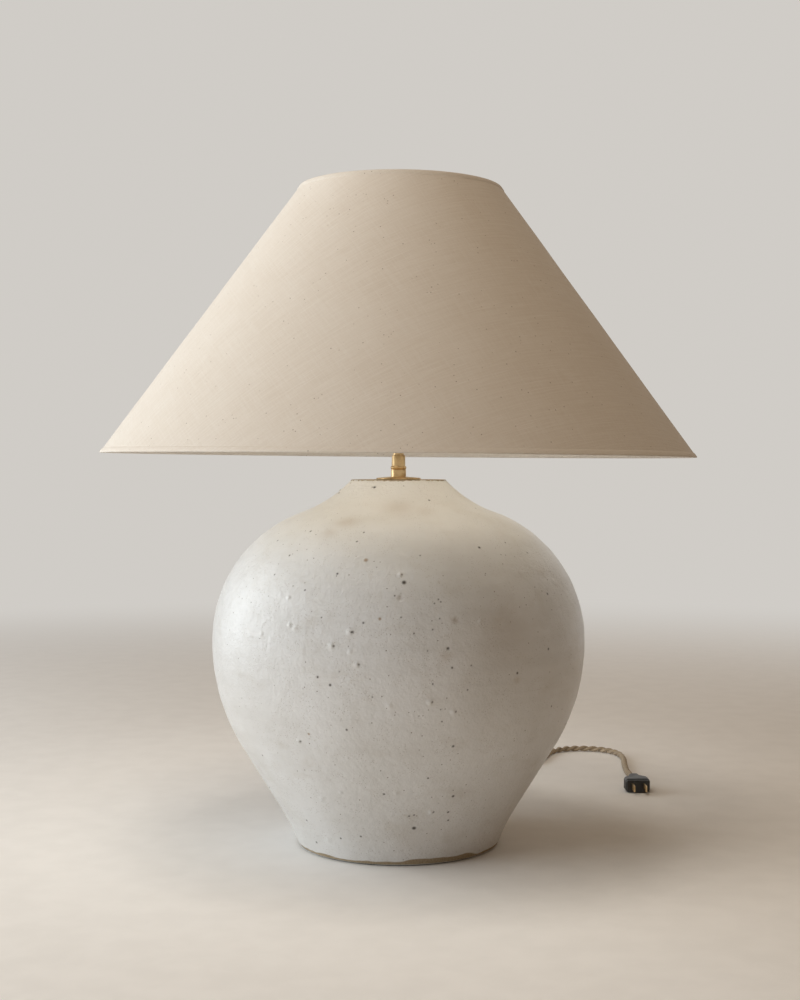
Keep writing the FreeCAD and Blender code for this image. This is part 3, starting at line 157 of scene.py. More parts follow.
def add_camera():
    data = bpy.data.cameras.new("camera")
    data.sensor_fit = "HORIZONTAL"
    data.sensor_width = SENSOR_WIDTH
    data.lens = FOCAL_PIXELS * SENSOR_WIDTH / PHOTO_WIDTH
    made = bpy.data.objects.new("camera", data)
    made.location = CAMERA_PLACE
    made.rotation_euler = (math.pi / 2 - LOOK_DOWN, 0, 0)
    bpy.context.scene.collection.objects.link(made)
    bpy.context.scene.camera = made
    return made


def photo_ray(column, row):
    """The direction from the camera through a pixel of the photograph."""
    across = (column - PHOTO_WIDTH / 2) / FOCAL_PIXELS
    up = (PHOTO_HEIGHT / 2 - row) / FOCAL_PIXELS
    return Matrix.Rotation(math.pi / 2 - LOOK_DOWN, 3, "X") @ Vector((across, up, -1)).normalized()


def add_lamp(name, place, target, width, height, power, colour, mirrored=False):
    """A soft lamp that the camera and glass never show, and metal and glaze only if mirrored."""
    data = bpy.data.lights.new(name, "AREA")
    data.shape = "RECTANGLE"
    data.size = width
    data.size_y = height
    data.energy = power
    data.color = colour
    made = bpy.data.objects.new(name, data)
    made.location = place
    made.visible_camera = False
    made.visible_glossy = mirrored
    made.visible_transmission = False
    bpy.context.scene.collection.objects.link(made)
    aim(made, target)


# Mesh helpers

SHARP_ANGLE = math.radians(50)


def mesh_object(name, points, faces):
    mesh = bpy.data.meshes.new(name)
    mesh.from_pydata([tuple(p) for p in points], [], faces)
    mesh.update()
    mesh.polygons.foreach_set("use_smooth", [True] * len(mesh.polygons))
    made = bpy.data.objects.new(name, mesh)
    bpy.context.scene.collection.objects.link(made)
    return made


def at_turn(radius, turn, height):
    """The point at a radius and turn about the axis, and a height."""
    return (radius * math.cos(turn), radius * math.sin(turn), height)


def grid_faces(rows, columns, rows_close, columns_close):
    """Quads over a grid of points that are numbered row by row."""
    faces = []
    for i in range(rows if rows_close else rows - 1):
        for j in range(columns if columns_close else columns - 1):
            below, above = i * columns, (i + 1) % rows * columns
            beside = (j + 1) % columns
            faces.append((below + j, below + beside, above + beside, above + j))
    return faces


def lathe(name, profile, columns):
    """A closed outline of radii and heights, anticlockwise, turned about the axis."""
    turns = np.arange(columns) * 2 * math.pi / columns
    points = [at_turn(r, t, z) for r, z in profile for t in turns]
    return mesh_object(name, points, grid_faces(len(profile), columns, True, True))


def rounded(corners, radius, steps):
    """A closed outline with each corner rounded by up to a radius."""
    made = []
    count = len(corners)
    for i, corner in enumerate(corners):
        here = Vector(corner)
        before, after = Vector(corners[i - 1]), Vector(corners[(i + 1) % count])
        reach = min(radius, (before - here).length * 0.45, (after - here).length * 0.45)
        first = here + (before - here).normalized() * reach
        last = here + (after - here).normalized() * reach
        for k in range(steps + 1):
            share = k / steps
            made.append(first.lerp(here, share).lerp(here.lerp(last, share), share))
    return made


def point_layer(made, name, values):
    """Stores one number for each point of a mesh, for its material."""
    layer = made.data.attributes.new(name, "FLOAT", "POINT")
    layer.data.foreach_set("value", np.asarray(values, np.float32))


def vector_layer(made, name, values, domain="POINT"):
    layer = made.data.attributes.new(name, "FLOAT_VECTOR", domain)
    layer.data.foreach_set("vector", np.asarray(values, np.float32).ravel())


def face_outwards(made):
    mesh = bmesh.new()
    mesh.from_mesh(made.data)
    bmesh.ops.recalc_face_normals(mesh, faces=mesh.faces)
    mesh.to_mesh(made.data)
    mesh.free()


def evenly(points, step):
    """Points about a step apart along a polyline, and how far along it they lie."""
    line = np.array([tuple(p) for p in points])
    apart = np.linalg.norm(np.diff(line, axis=0), axis=1)
    line = line[np.concatenate([[True], apart > 1e-7])]
    lengths = np.concatenate([[0], np.cumsum(np.linalg.norm(np.diff(line, axis=0), axis=1))])
    at = np.linspace(0, lengths[-1], round(lengths[-1] / step) + 1)
    return np.stack([np.interp(at, lengths, side) for side in line.T], axis=1), at


def smooth_step(low, high, x):
    share = np.clip((np.asarray(x, float) - low) / (high - low), 0, 1)
    return share * share * (3 - 2 * share)


# Materials


class Nodes:
    """The shader nodes of a material or the world, made one call at a time."""

    def __init__(self, tree):
        self.tree = tree

    def join(self, socket, given):
        if isinstance(given, bpy.types.NodeSocket):
            self.tree.links.new(given, socket)
        elif isinstance(given, tuple) and socket.type == "RGBA" and len(given) == 3:
            socket.default_value = (*given, 1)
        else:
            socket.default_value = given

    def node(self, kind, inputs, **settings):
        made = self.tree.nodes.new("ShaderNode" + kind)
        for name, given in settings.items():
            setattr(made, name, given)
        for name, given in inputs.items():
            self.join(made.inputs[name], given)
        return made

    def maths(self, operation, a, b=0.0):
        return self.node("Math", {0: a, 1: b}, operation=operation).outputs[0]

    def sees_stage(self):
        """1 for rays from the camera and for those that metal and glass send on."""
        path = self.node("LightPath", {})
        seen = self.maths("MAXIMUM", path.outputs["Is Camera Ray"], path.outputs["Is Glossy Ray"])
        return self.maths("MAXIMUM", seen, path.outputs["Is Transmission Ray"])


class Look(Nodes):
    """A material."""

    def __init__(self, name, **shader):
        self.material = bpy.data.materials.new(name)
        self.material.use_nodes = True
        super().__init__(self.material.node_tree)
        self.shader = self.tree.nodes["Principled BSDF"]
        self.set(**shader)
        self.normal = None

    def set(self, **inputs):
        for name, given in inputs.items():
            self.join(self.shader.inputs[name.replace("_", " ")], given)

    def place(self, stretch=(1, 1, 1), turn=(0, 0, 0)):
        """The place on the object, stretched."""
        at = self.node("TexCoord", {}).outputs["Object"]
        return self.stretch(at, stretch, turn)

    def layer(self, name, output="Fac"):
        return self.node("Attribute", {}, attribute_name=name).outputs[output]

    def stretch(self, vector, stretch, turn=(0, 0, 0)):
        inputs = {"Vector": vector, "Scale": stretch, "Rotation": turn}
        return self.node("Mapping", inputs).outputs["Vector"]

    def noise(self, vector, scale, detail=2.0, roughness=0.5):
        inputs = {"Vector": vector, "Scale": scale, "Detail": detail, "Roughness": roughness}
        return self.node("TexNoise", inputs).outputs["Fac"]

    def cells(self, vector, scale, randomness=1.0):
        inputs = {"Vector": vector, "Scale": scale, "Randomness": randomness}
        return self.node("TexVoronoi", inputs).outputs["Distance"]

    def range(self, value, low, high, to_low=0.0, to_high=1.0):
        span = {"From Min": low, "From Max": high, "To Min": to_low, "To Max": to_high}
        made = self.node("MapRange", {"Value": value, **span}, interpolation_type="SMOOTHSTEP")
        return made.outputs["Result"]

    def mix(self, share, a, b):
        made = self.node("Mix", {0: share, 6: a, 7: b}, data_type="RGBA")
        return made.outputs[2]

    def bump(self, height, distance, strength=1.0):
        inputs = {"Height": height, "Distance": distance, "Strength": strength}
        if self.normal is not None:
            inputs["Normal"] = self.normal
        self.normal = self.node("Bump", inputs).outputs["Normal"]
        self.set(Normal=self.normal)


def glaze_look(name):
    coat = {"Coat_Weight": 0.5, "Coat_Roughness": 0.26, "Coat_IOR": 1.5}
    look = Look(name, Specular_IOR_Level=0.3, **coat)
    at = look.place()
    bands = look.place((2, 2, 150))
    cloud = look.noise(at, 9, 4, 0.6)
    patch = look.noise(look.place((1, 1, 1.6), (0.3, 0.2, 0)), 26, 5, 0.6)
    colour = look.mix(look.range(cloud, 0.32, 0.7), (0.62, 0.61, 0.59), (0.715, 0.715, 0.71))
    colour = look.mix(look.range(patch, 0.52, 0.74, 0, 0.45), colour, (0.55, 0.52, 0.475))
    rings = look.noise(bands, 1, 3, 0.55)
    colour = look.mix(look.range(rings, 0.35, 0.7, 0, 0.14), colour, (0.77, 0.77, 0.765))
    cream = look.layer("cream")
    colour = look.mix(look.maths("MULTIPLY", cream, 0.55), colour, (0.70, 0.655, 0.57))
    fine = look.cells(at, 520)
    spots = look.cells(look.place((1, 1, 1), (0.7, 0.4, 0)), 150)
    rare = look.noise(at, 60, 0)
    pins = look.maths("MULTIPLY", look.range(fine, 0.13, 0.22, 1, 0), look.range(rare, 0.46, 0.56))
    specks = look.maths("MULTIPLY", look.range(spots, 0.06, 0.1, 1, 0), look.range(rare, 0.5, 0.44))
    colour = look.mix(look.maths("MULTIPLY", pins, 0.5), colour, (0.36, 0.30, 0.23))
    colour = look.mix(look.maths("MULTIPLY", specks, 0.8), colour, (0.14, 0.095, 0.06))
    marks = look.layer("mark")
    stain = look.layer("stain")
    colour = look.mix(stain, colour, (0.36, 0.25, 0.15))
    # Dark specks and holes, and the painted shade beside each blister
    colour = look.mix(marks, colour, (0.03, 0.02, 0.013))
    bare = look.layer("bare")
    grit = look.noise(at, 900, 3, 0.7)
    clay = look.mix(look.range(grit, 0.35, 0.65), (0.27, 0.205, 0.125), (0.39, 0.31, 0.205))
    look.set(Base_Color=look.mix(bare, colour, clay))
    sheen = look.range(cloud, 0.3, 0.7, 0.4, 0.3)
    look.set(Roughness=look.maths("MAXIMUM", sheen, look.maths("MULTIPLY", bare, 0.9)))
    look.bump(look.noise(at, 130, 2), 0.0013, 0.5)
    look.bump(look.noise(at, 420, 3, 0.65), 0.0007, 0.6)
    look.bump(look.maths("ADD", pins, specks), -0.0005, 0.6)
    look.bump(look.maths("MULTIPLY", bare, grit), 0.0006, 0.8)
    look.set(Coat_Normal=look.normal)
    return look.material


def brass_look(name, colour, dull, roughness):
    look = Look(name, Metallic=1.0)
    at = look.place()
    lines = look.noise(look.place((20, 20, 5200)), 1, 2)
    tarnish = look.range(look.noise(at, 130, 5, 0.65), 0.42, 0.72)
    look.set(Base_Color=look.mix(look.maths("MULTIPLY", tarnish, 0.75), colour, dull))
    look.set(Roughness=look.range(tarnish, 0, 1, roughness, roughness + 0.2))
    look.bump(lines, 0.00003, 0.5)
    look.bump(look.noise(at, 2500, 2), 0.00003, 0.3)
    return look.material


def metal_look(name, colour, roughness, spots):
    look = Look(name, Metallic=1.0)
    at = look.place()
    shade = look.range(look.noise(at, spots, 4, 0.6), 0.35, 0.7)
    dull = tuple(c * 0.6 for c in colour)
    look.set(Base_Color=look.mix(shade, colour, dull))
    look.set(Roughness=look.range(shade, 0, 1, roughness, roughness + 0.15))
    look.bump(look.noise(look.place((900, 900, 120)), 1, 2), 0.00003, 0.4)
    return look.material


def cloth_look(name, colour, dark, light, fleck_colour):
    """Woven cloth. Its threads follow the layer that holds the flat cut's places."""
    look = Look(name, Roughness=0.9, Sheen_Weight=0.08, Sheen_Roughness=0.5)
    cut = look.layer("cut", "Vector")
    weft = look.noise(look.stretch(cut, (26, 560, 1)), 1, 3, 0.6)
    warp = look.noise(look.stretch(cut, (620, 22, 1)), 1, 3, 0.6)
    fine_weft = look.noise(look.stretch(cut, (190, 2100, 1)), 1, 1)
    fine_warp = look.noise(look.stretch(cut, (2300, 170, 1)), 1, 1)
    slub = look.noise(look.stretch(cut, (34, 900, 1), (0, 0, 0.02)), 1, 0)
    cloud = look.noise(look.stretch(cut, (1, 1, 1)), 16, 4, 0.6)
    tint = look.mix(look.range(weft, 0.3, 0.72), dark, colour)
    tint = look.mix(look.range(warp, 0.4, 0.7, 0, 0.4), tint, light)
    tint = look.mix(look.range(cloud, 0.35, 0.7, 0, 0.3), tint, light)
    tint = look.mix(look.range(fine_weft, 0.3, 0.7, 0.3, 0), tint, dark)
    tint = look.mix(look.range(fine_warp, 0.3, 0.7, 0.3, 0), tint, dark)
    tint = look.mix(look.range(slub, 0.7, 0.8, 0, 0.5), tint, light)
    dots = look.cells(look.stretch(cut, (190, 190, 1)), 1)
    some = look.noise(look.stretch(cut, (75, 75, 1)), 1, 0)
    flecks = look.maths("MULTIPLY", look.range(dots, 0.06, 0.13, 1, 0), look.range(some, 0.5, 0.62))
    tint = look.mix(look.maths("MULTIPLY", flecks, 0.75), tint, fleck_colour)
    look.set(Base_Color=tint)
    threads = look.maths("ADD", fine_weft, fine_warp)
    look.bump(threads, 0.00016, 0.5)
    look.bump(look.maths("ADD", weft, slub), 0.0003, 0.35)
    return look.material


def braid_look(name, colour, dark):
    """A braided cloth cover, drawn round and along each strand, with painted shade in the grooves
    between its yarns.
    """
    look = Look(name, Roughness=0.9, Sheen_Weight=0.3, Sheen_Roughness=0.5)
    run = look.layer("run", "Vector")
    left, right = [
        look.node("TexWave", {"Vector": look.stretch(run, (1, 1, 1), (0, 0, lean)), "Scale": 3.2})
        for lean in (0.8, -0.8)
    ]
    braid_and_groove_shade = look.maths("MAXIMUM", left.outputs["Fac"], right.outputs["Fac"])
    fibre = look.noise(look.place(), 1800, 3, 0.7)
    cloud = look.noise(look.place(), 90, 3)
    # Painted shade: where the braid is lowest, in the grooves between its yarns, it is darkened
    # towards the dark colour
    tint = look.mix(look.range(braid_and_groove_shade, 0.2, 0.95), dark, colour)
    tint = look.mix(look.range(cloud, 0.35, 0.7, 0, 0.5), tint, tuple(c * 0.72 for c in colour))
    bright = tuple(min(1, c * 1.35) for c in colour)
    tint = look.mix(look.range(fibre, 0.55, 0.8, 0, 0.5), tint, bright)
    look.set(Base_Color=tint)
    look.bump(braid_and_groove_shade, 0.00025, 0.7)
    look.bump(fibre, 0.0002, 0.5)
    return look.material


def moulded_look(name, colour, roughness, grain=900, depth=0.00006):
    look = Look(name)
    at = look.place()
    wear = look.range(look.noise(at, 60, 4, 0.6), 0.35, 0.75)
    worn = tuple(min(1, c * 1.5 + 0.012) for c in colour)
    look.set(Base_Color=look.mix(look.maths("MULTIPLY", wear, 0.5), colour, worn))
    look.set(Roughness=look.range(wear, 0, 1, roughness, roughness + 0.14))
    look.bump(look.noise(at, grain, 3, 0.6), depth, 0.5)
    return look.material


def felt_look(name):
    look = Look(name, Roughness=0.97, Sheen_Weight=0.5, Sheen_Roughness=0.6)
    fibre = look.noise(look.place((1, 1, 3)), 1300, 4, 0.7)
    tint = look.mix(look.range(fibre, 0.35, 0.7), (0.014, 0.02, 0.015), (0.05, 0.065, 0.05))
    look.set(Base_Color=tint)
    look.bump(fibre, 0.0005, 0.8)
    return look.material


def lining_look(name):
    look = Look(name, Sheen_Weight=0.05)
    at = look.place()
    cloud = look.noise(at, 22, 4, 0.6)
    tint = look.mix(look.range(cloud, 0.3, 0.7), (0.70, 0.66, 0.58), (0.80, 0.775, 0.715))
    look.set(Base_Color=tint)
    look.set(Roughness=look.range(cloud, 0.3, 0.7, 0.45, 0.6))
    look.bump(look.noise(at, 700, 3), 0.0001, 0.4)
    return look.material


def glass_look(name, tint, roughness):
    look = Look(name, IOR=1.5, Transmission_Weight=1.0)
    smoke = look.noise(look.place(), 40, 2)
    look.set(Base_Color=look.mix(look.range(smoke, 0.3, 0.7), tint, (0.99, 0.985, 0.97)))
    look.set(Roughness=look.range(smoke, 0.3, 0.7, roughness, roughness + 0.02))
    return look.material


def fibre_look(name):
    look = Look(name, Roughness=0.9)
    grain = look.noise(look.place((400, 400, 1500)), 1, 3)
    tint = look.mix(look.range(grain, 0.3, 0.7), (0.05, 0.042, 0.036), (0.105, 0.09, 0.075))
    look.set(Base_Color=tint)
    look.bump(grain, 0.0001, 0.5)
    return look.material


# The finish of each slot: what makes it, then its colours and measures
FINISHES = {
    "glazed_stoneware": (glaze_look,),
    "brass": (brass_look, (0.74, 0.54, 0.29), (0.44, 0.29, 0.14), 0.3),
    "lamp_steel": (metal_look, (0.55, 0.54, 0.51), 0.34, 160),
    "brass_wire": (brass_look, (0.66, 0.48, 0.25), (0.42, 0.29, 0.14), 0.3),
    "felt": (felt_look,),
    "linen": (cloth_look, (0.74, 0.69, 0.62), (0.67, 0.61, 0.535), (0.775, 0.74, 0.685),
              (0.17, 0.11, 0.065)),
    "shade_lining": (lining_look,),
    # The cord's second colour is the painted shade in the braid's grooves
    "cloth_cord": (braid_look, (0.47, 0.37, 0.25), (0.20, 0.145, 0.09)),
    "lead_insulation": (moulded_look, (0.55, 0.50, 0.41), 0.5),
    "tie_strap": (moulded_look, (0.022, 0.019, 0.017), 0.75, 1500, 0.0003),
    "black_plastic": (moulded_look, (0.012, 0.0105, 0.0095), 0.36),
    "grommet_rubber": (moulded_look, (0.018, 0.016, 0.014), 0.6),
    "fibre": (fibre_look,),
    "phenolic": (moulded_look, (0.022, 0.016, 0.013), 0.3),
    "bulb_glass": (glass_look, (0.97, 0.965, 0.94), 0.0),
    "stem_glass": (glass_look, (0.93, 0.95, 0.94), 0.02),
    "bulb_cap_metal": (metal_look, (0.70, 0.69, 0.66), 0.25, 220),
    "bulb_black_glass": (moulded_look, (0.008, 0.008, 0.011), 0.12),
    "tungsten": (metal_look, (0.28, 0.27, 0.26), 0.4, 400),
}
LOOKS = {slot: make(slot, *values) for slot, (make, *values) in FINISHES.items()}
SLOT_OF = {row["node"]: row["material_slot"] for row in frame["record"]["subparts"]}


def dress(made, slot):
    """Gives a piece the finish of one of the record's slots."""
    made.data.materials.clear()
    made.data.materials.append(LOOKS[slot])


def stand_for(made, body, *nodes):
    """A piece that takes a solid's place rides with its body and has its finish."""
    dress(made, SLOT_OF[nodes[0]])
    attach(made, body)
    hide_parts(*nodes)


# Vessel


def arc(start, end, radius, side, step):
    """Points along the short arc from start to end that turns left (side 1) or right (side -1)."""
    start, end = Vector(start), Vector(end)
    chord = end - start
    rise = math.sqrt(radius**2 - chord.length_squared / 4)
    centre = (start + end) / 2 + Vector((-chord.y, chord.x)).normalized() * rise * side
    first = math.atan2(start.y - centre.y, start.x - centre.x)
    turn = 2 * math.asin(chord.length / 2 / radius) * side
    count = max(2, round(abs(turn) * radius / step))
    angles = [first + turn * k / count for k in range(count)]
    return [centre + Vector((math.cos(a), math.sin(a))) * radius for a in angles]


def upright_arc(spread, rise):
    """The radius of an arc that leaves the upright, and the angle that it turns."""
    return (spread**2 + rise**2) / (2 * spread), 2 * math.atan(spread / rise)


ROW_STEP = 0.0026
FINE_STEP = 0.0007
INNER_STEP = 0.02
VESSEL_COLUMNS = 384
FINE_REACH = 0.011
NECK_STEP = 0.0005
NECK_TOP_INNER = 0.03

belly_spread = BELLY_SPREAD_SHARE * (BELLY_RADIUS - FOOT_RADIUS)
belly_rise = BELLY_RISE_SHARE * BELLY_HEIGHT
shoulder_spread = SHOULDER_SPREAD_SHARE * (BELLY_RADIUS - NECK_RADIUS)
shoulder_rise = SHOULDER_RISE_SHARE * (NECK_HEIGHT - BELLY_HEIGHT)
belly_curve, lower_angle = upright_arc(belly_spread, belly_rise)
shoulder_curve, shoulder_angle = upright_arc(shoulder_spread, shoulder_rise)
belly_start = Vector((BELLY_RADIUS - belly_spread, BELLY_HEIGHT - belly_rise))
shoulder_end = Vector((BELLY_RADIUS - shoulder_spread, BELLY_HEIGHT + shoulder_rise))


def wall_radius(height):
    """The radius of the straight lower wall at a height."""
    return belly_start.x - (belly_start.y - height) * math.tan(lower_angle)


def outer_wall():
    """The glazed outside from the foot's corner to the neck's, as radii and heights."""
    foot = Vector((FOOT_RADIUS, FOOT_HEIGHT))
    foot_top = Vector((wall_radius(FOOT_CURVE_HEIGHT), FOOT_CURVE_HEIGHT))
    belly = Vector((BELLY_RADIUS, BELLY_HEIGHT))
    neck = Vector((NECK_RADIUS, NECK_HEIGHT - NECK_EDGE))
    heading = Vector((-math.sin(shoulder_angle), math.cos(shoulder_angle)))
    chord = neck - shoulder_end
    neck_curve = abs(chord.length_squared / (2 * chord.dot(Vector((-heading.y, heading.x)))))
    small = FINE_STEP / 2
    line = arc(foot, foot_top, FOOT_CURVE, -1, small) + [foot_top]
    line += arc(belly_start, belly, belly_curve, 1, small)
    line += arc(belly, shoulder_end, shoulder_curve, 1, small)
    line += arc(shoulder_end, neck, neck_curve, -1, small) + [neck]
    fine_foot, _ = evenly([p for p in line if p.y < FINE_REACH], FINE_STEP)
    fine_neck, _ = evenly([p for p in line if p.y > NECK_HEIGHT - FINE_REACH], FINE_STEP)
    middle, _ = evenly([p for p in line if FINE_REACH <= p.y <= NECK_HEIGHT - FINE_REACH], ROW_STEP)
    return [Vector(p) for p in (*fine_foot, *middle[1:-1], *fine_neck)]


def inner_wall():
    """The inside from the neck's bore down to the floor, and the recess under it."""
    tan, cos, sin = math.tan(lower_angle), math.cos(lower_angle), math.sin(lower_angle)
    inner_belly = Vector((belly_start.x - WALL * cos, belly_start.y + WALL * sin))
    bend = Vector((math.cos(shoulder_angle), math.sin(shoulder_angle)))
    inner_shoulder = shoulder_end - bend * WALL
    inner_side = Vector((BELLY_RADIUS - WALL, BELLY_HEIGHT))
    floor_top = FLOOR_UNDERSIDE + FLOOR_THICKNESS
    deck = NECK_HEIGHT - DECK_THICKNESS
    line = [(NECK_BORE, NECK_HEIGHT), (NECK_BORE, deck), (NECK_INNER_RADIUS, deck)]
    down = arc(inner_shoulder, inner_side, shoulder_curve - WALL, -1, INNER_STEP)
    down += arc(inner_side, inner_belly, belly_curve - WALL, -1, INNER_STEP) + [inner_belly]
    line += [tuple(p) for p in down]
    line += [(inner_belly.x - (inner_belly.y - floor_top) * tan, floor_top)]
    line += [(FLOOR_BORE, floor_top), (FLOOR_BORE, FLOOR_UNDERSIDE)]
    line += [(wall_radius(FLOOR_UNDERSIDE) - FOOT_WALL / cos, FLOOR_UNDERSIDE)]
    line += [(FOOT_RADIUS - FOOT_WALL, FOOT_HEIGHT)]
    return line


SPECK, RUST, BLISTER, BUMP, DENT, HOLE = "speck", "rust", "blister", "bump", "dent", "hole"
# Marks seen in the photograph, by kind: pixel column and row, radius in millimetres
SEEN_MARKS = {
    SPECK: [
        (429, 501, 1.1), (311, 532, 1.1), (364, 533, 0.9), (357, 542, 1.0), (479, 548, 1.3),
        (404, 582.7, 1.9), (363.4, 623, 0.9), (317.8, 677, 1.0), (330.2, 685, 1.2),
        (346.8, 729.6, 1.0), (453, 746, 1.2), (263, 755, 0.9), (428, 778, 1.0), (384, 794, 1.1),
        (453, 796, 1.3), (414, 828, 1.9), (414, 815, 0.9), (409, 816, 0.9), (448, 812, 1.1),
        (448, 820, 1.0), (307, 820, 1.0), (317, 842, 1.1), (341, 838, 1.0), (361, 836, 1.0),
        (547, 594, 1.2), (548, 649, 1.1), (517, 673, 1.1), (337.5, 574, 1.0), (305.4, 590.4, 0.9),
        (394.7, 596, 0.8), (432.6, 684, 0.8), (452, 667.7, 0.9), (372.3, 697, 0.7),
        (439.5, 618.6, 0.7), (438.3, 599.6, 0.7), (440.6, 602, 0.7), (434.3, 603.6, 0.7),
        (432.6, 629.7, 0.7), (401, 617.4, 0.7), (413.7, 633.5, 0.7), (427.4, 651, 0.6),
        (471, 665.4, 0.7), (467.4, 689.7, 0.7), (441.8, 721.3, 0.7), (440.6, 709.3, 0.6),
        (339.4, 671.7, 0.6), (321.8, 617.7, 0.7), (275, 575, 0.8), (290, 556, 0.9), (278, 541, 0.8),
        (505, 543, 0.8), (527, 553, 0.8), (551, 706, 0.9), (475.5, 508.5, 0.8), (420, 556, 0.7),
        (351.8, 632.3, 0.9),
    ],
    RUST: [(366, 560.5, 1.9), (379.8, 619, 1.3), (309, 734, 1.1)],
    HOLE: [(374.5, 487.5, 1.4), (448.2, 648.4, 1.2)],
    BLISTER: [
        (350, 632, 2.8), (331.6, 646, 2.3), (356.8, 664.5, 2.2), (429.7, 702, 2.3),
        (453.3, 711.5, 2.3), (299, 741, 2.2), (431, 812, 2.5), (400, 575, 1.9),
    ],
    DENT: [(455.8, 620, 3.1), (400.5, 598, 2.5)],
    BUMP: [
        (349.9, 652, 2.0), (322, 798, 2.5), (396, 793, 2.2), (329, 840, 2.7), (296, 628, 2.4),
        (262, 634, 2.2), (290, 625, 1.8), (480, 621.5, 1.8), (389, 706, 2.4), (289, 598, 1.8),
        (341, 792, 1.8),
    ],
}
# Broad brown smudges in the glaze: pixel column and row, radius in millimetres, strength
SEEN_STAINS = [
    (346, 523, 10, 0.34), (330, 533, 8, 0.22), (398, 508, 13, 0.24), (424, 512, 9, 0.16),
    (508, 630, 32, 0.2), (411, 842, 18, 0.14), (517, 680, 3, 0.3), (446, 656, 6, 0.22),
    (456, 620, 3, 0.35), (400.5, 598, 3, 0.2), (541, 572, 7, 0.2), (462, 497, 8, 0.14),
]
# The marks round the back, where the photograph shows nothing: how many, and which kinds and sizes
BACK_SEED = 11
BACK_SPECKS = 70
BACK_BUMPS = 24
SPECK_KINDS = (SPECK, SPECK, SPECK, SPECK, RUST, HOLE)
BUMP_KINDS = (BLISTER, BUMP, BLISTER, DENT)
SPECK_SIZES = (0.0005, 0.0013)
BUMP_SIZES = (0.0012, 0.002)
BACK_TURNS = (-0.12, 1.12)


def seen_place(column, row):
    """Where a pixel of the photograph falls on the vessel, if it does."""
    solid = frame["nodes"]["ceramic_body"]
    found, place, _, _ = solid.ray_cast(Vector(CAMERA_PLACE), photo_ray(column, row))
    return place if found else None


def vessel_marks():
    """Every mark on the vessel: those in the photograph, and others like them round the back."""
    marks = []
    for kind, seen in SEEN_MARKS.items():
        for column, row, radius in seen:
            place = seen_place(column, row)
            if place is not None:
                marks.append((place, radius / 1000, kind))
    draw = random.Random(BACK_SEED)
    wall = [p for p in outer_wall() if p.y > FINE_REACH]
    for k in range(BACK_SPECKS + BACK_BUMPS):
        kinds, sizes = (BUMP_KINDS, BUMP_SIZES) if k < BACK_BUMPS else (SPECK_KINDS, SPECK_SIZES)
        turn = draw.uniform(*BACK_TURNS) * math.pi
        spot = wall[draw.randrange(len(wall))]
        kind = draw.choice(kinds)
        radius = draw.uniform(*sizes)
        place = Vector(at_turn(spot.x, turn, spot.y))
        marks.append((place, radius, kind))
    return marks


# How far past a mark the faces are cut finer, in its own sizes and by a margin in each round
REFINE_SHARE = 1.6
REFINE_MARGINS = (0.0016, 0.0006)


def refine(mesh, marks):
    """Cuts the faces round each mark finer, so that it has a shape of its own."""
    places = np.array([tuple(place) for place, _, _ in marks])
    sizes = np.array([size for _, size, _ in marks])
    for margin in REFINE_MARGINS:
        reach = sizes * REFINE_SHARE + margin
        edges = []
        for edge in mesh.edges:
            middle = (edge.verts[0].co + edge.verts[1].co) / 2
            if (np.linalg.norm(places - np.array(middle), axis=1) < reach).any():
                edges.append(edge)
        bmesh.ops.subdivide_edges(mesh, edges=edges, cuts=1, use_grid_fill=True)


def cut_exit(mesh):
    """The round recess at the back that the cord's strain relief sits in."""
    wall = [v for v in mesh.verts if v.co.y > EXIT_SEAT and abs(v.co.x) < 3 * SEAT_RADIUS]
    for v in wall:
        away = Vector((v.co.x, v.co.z - EXIT_HEIGHT))
        if abs(away.length - SEAT_RADIUS) < SEAT_SNAP:
            radius = math.hypot(v.co.x, v.co.y)
            away = away.normalized() * SEAT_RADIUS
            v.co = Vector((away.x, math.sqrt(radius**2 - away.x**2), away.y + EXIT_HEIGHT))
    inside = []
    for face in mesh.faces:
        if all(math.hypot(v.co.x, v.co.z - EXIT_HEIGHT) < SEAT_RADIUS + TINY for v in face.verts):
            if face.calc_center_median().y > EXIT_SEAT:
                inside.append(face)
    bmesh.ops.delete(mesh, geom=inside, context="FACES")
    rim = [e for e in mesh.edges if len(e.link_faces) == 1]
    made = bmesh.ops.extrude_edge_only(mesh, edges=rim)
    moved = [v for v in made["geom"] if isinstance(v, bmesh.types.BMVert)]
    for v in moved:
        v.co.y = EXIT_SEAT
    rim = [e for e in mesh.edges if len(e.link_faces) == 1]
    bmesh.ops.contextual_create(mesh, geom=rim)


# The bare clay: its height at the foot, its waves, and how far it widens between which turns
BARE_FOOT = 0.0037
BARE_FOOT_WAVE = 0.0016
WIDE_BARE_FOOT = 0.003
WIDE_BARE = (math.radians(-92), math.radians(-80), math.radians(-52), math.radians(-40))
BARE_NECK = 0.0009
BARE_NECK_WAVE = 1.2
FOOT_BLUR = 0.0004
NECK_BLUR = 0.0003
# How often the bare band's edge changes round the wall, and a start: its waves and their ripple
WAVES = (5, 3.1)
RIPPLE = (17, 8.4)
RIPPLE_SHARE = 0.35
GLAZE_STEP = 0.0003


def bare_clay(turn, height):
    """How far each point is bare clay: a wavy band at the foot and a thin rim at the neck."""

    def edge(often, start):
        return np.array([noise.noise(Vector(at_turn(often, t, start))) for t in turn])

    wave, ripple = edge(*WAVES), edge(*RIPPLE)
    wide = smooth_step(*WIDE_BARE[:2], turn) * (1 - smooth_step(*WIDE_BARE[2:], turn))
    line = BARE_FOOT + BARE_FOOT_WAVE * (wave + RIPPLE_SHARE * ripple) + WIDE_BARE_FOOT * wide
    foot = 1 - smooth_step(line - FOOT_BLUR, line + FOOT_BLUR, height)
    top = NECK_HEIGHT - BARE_NECK * (1 + BARE_NECK_WAVE * ripple)
    return np.maximum(foot, smooth_step(top - NECK_BLUR, top + NECK_BLUR, height))


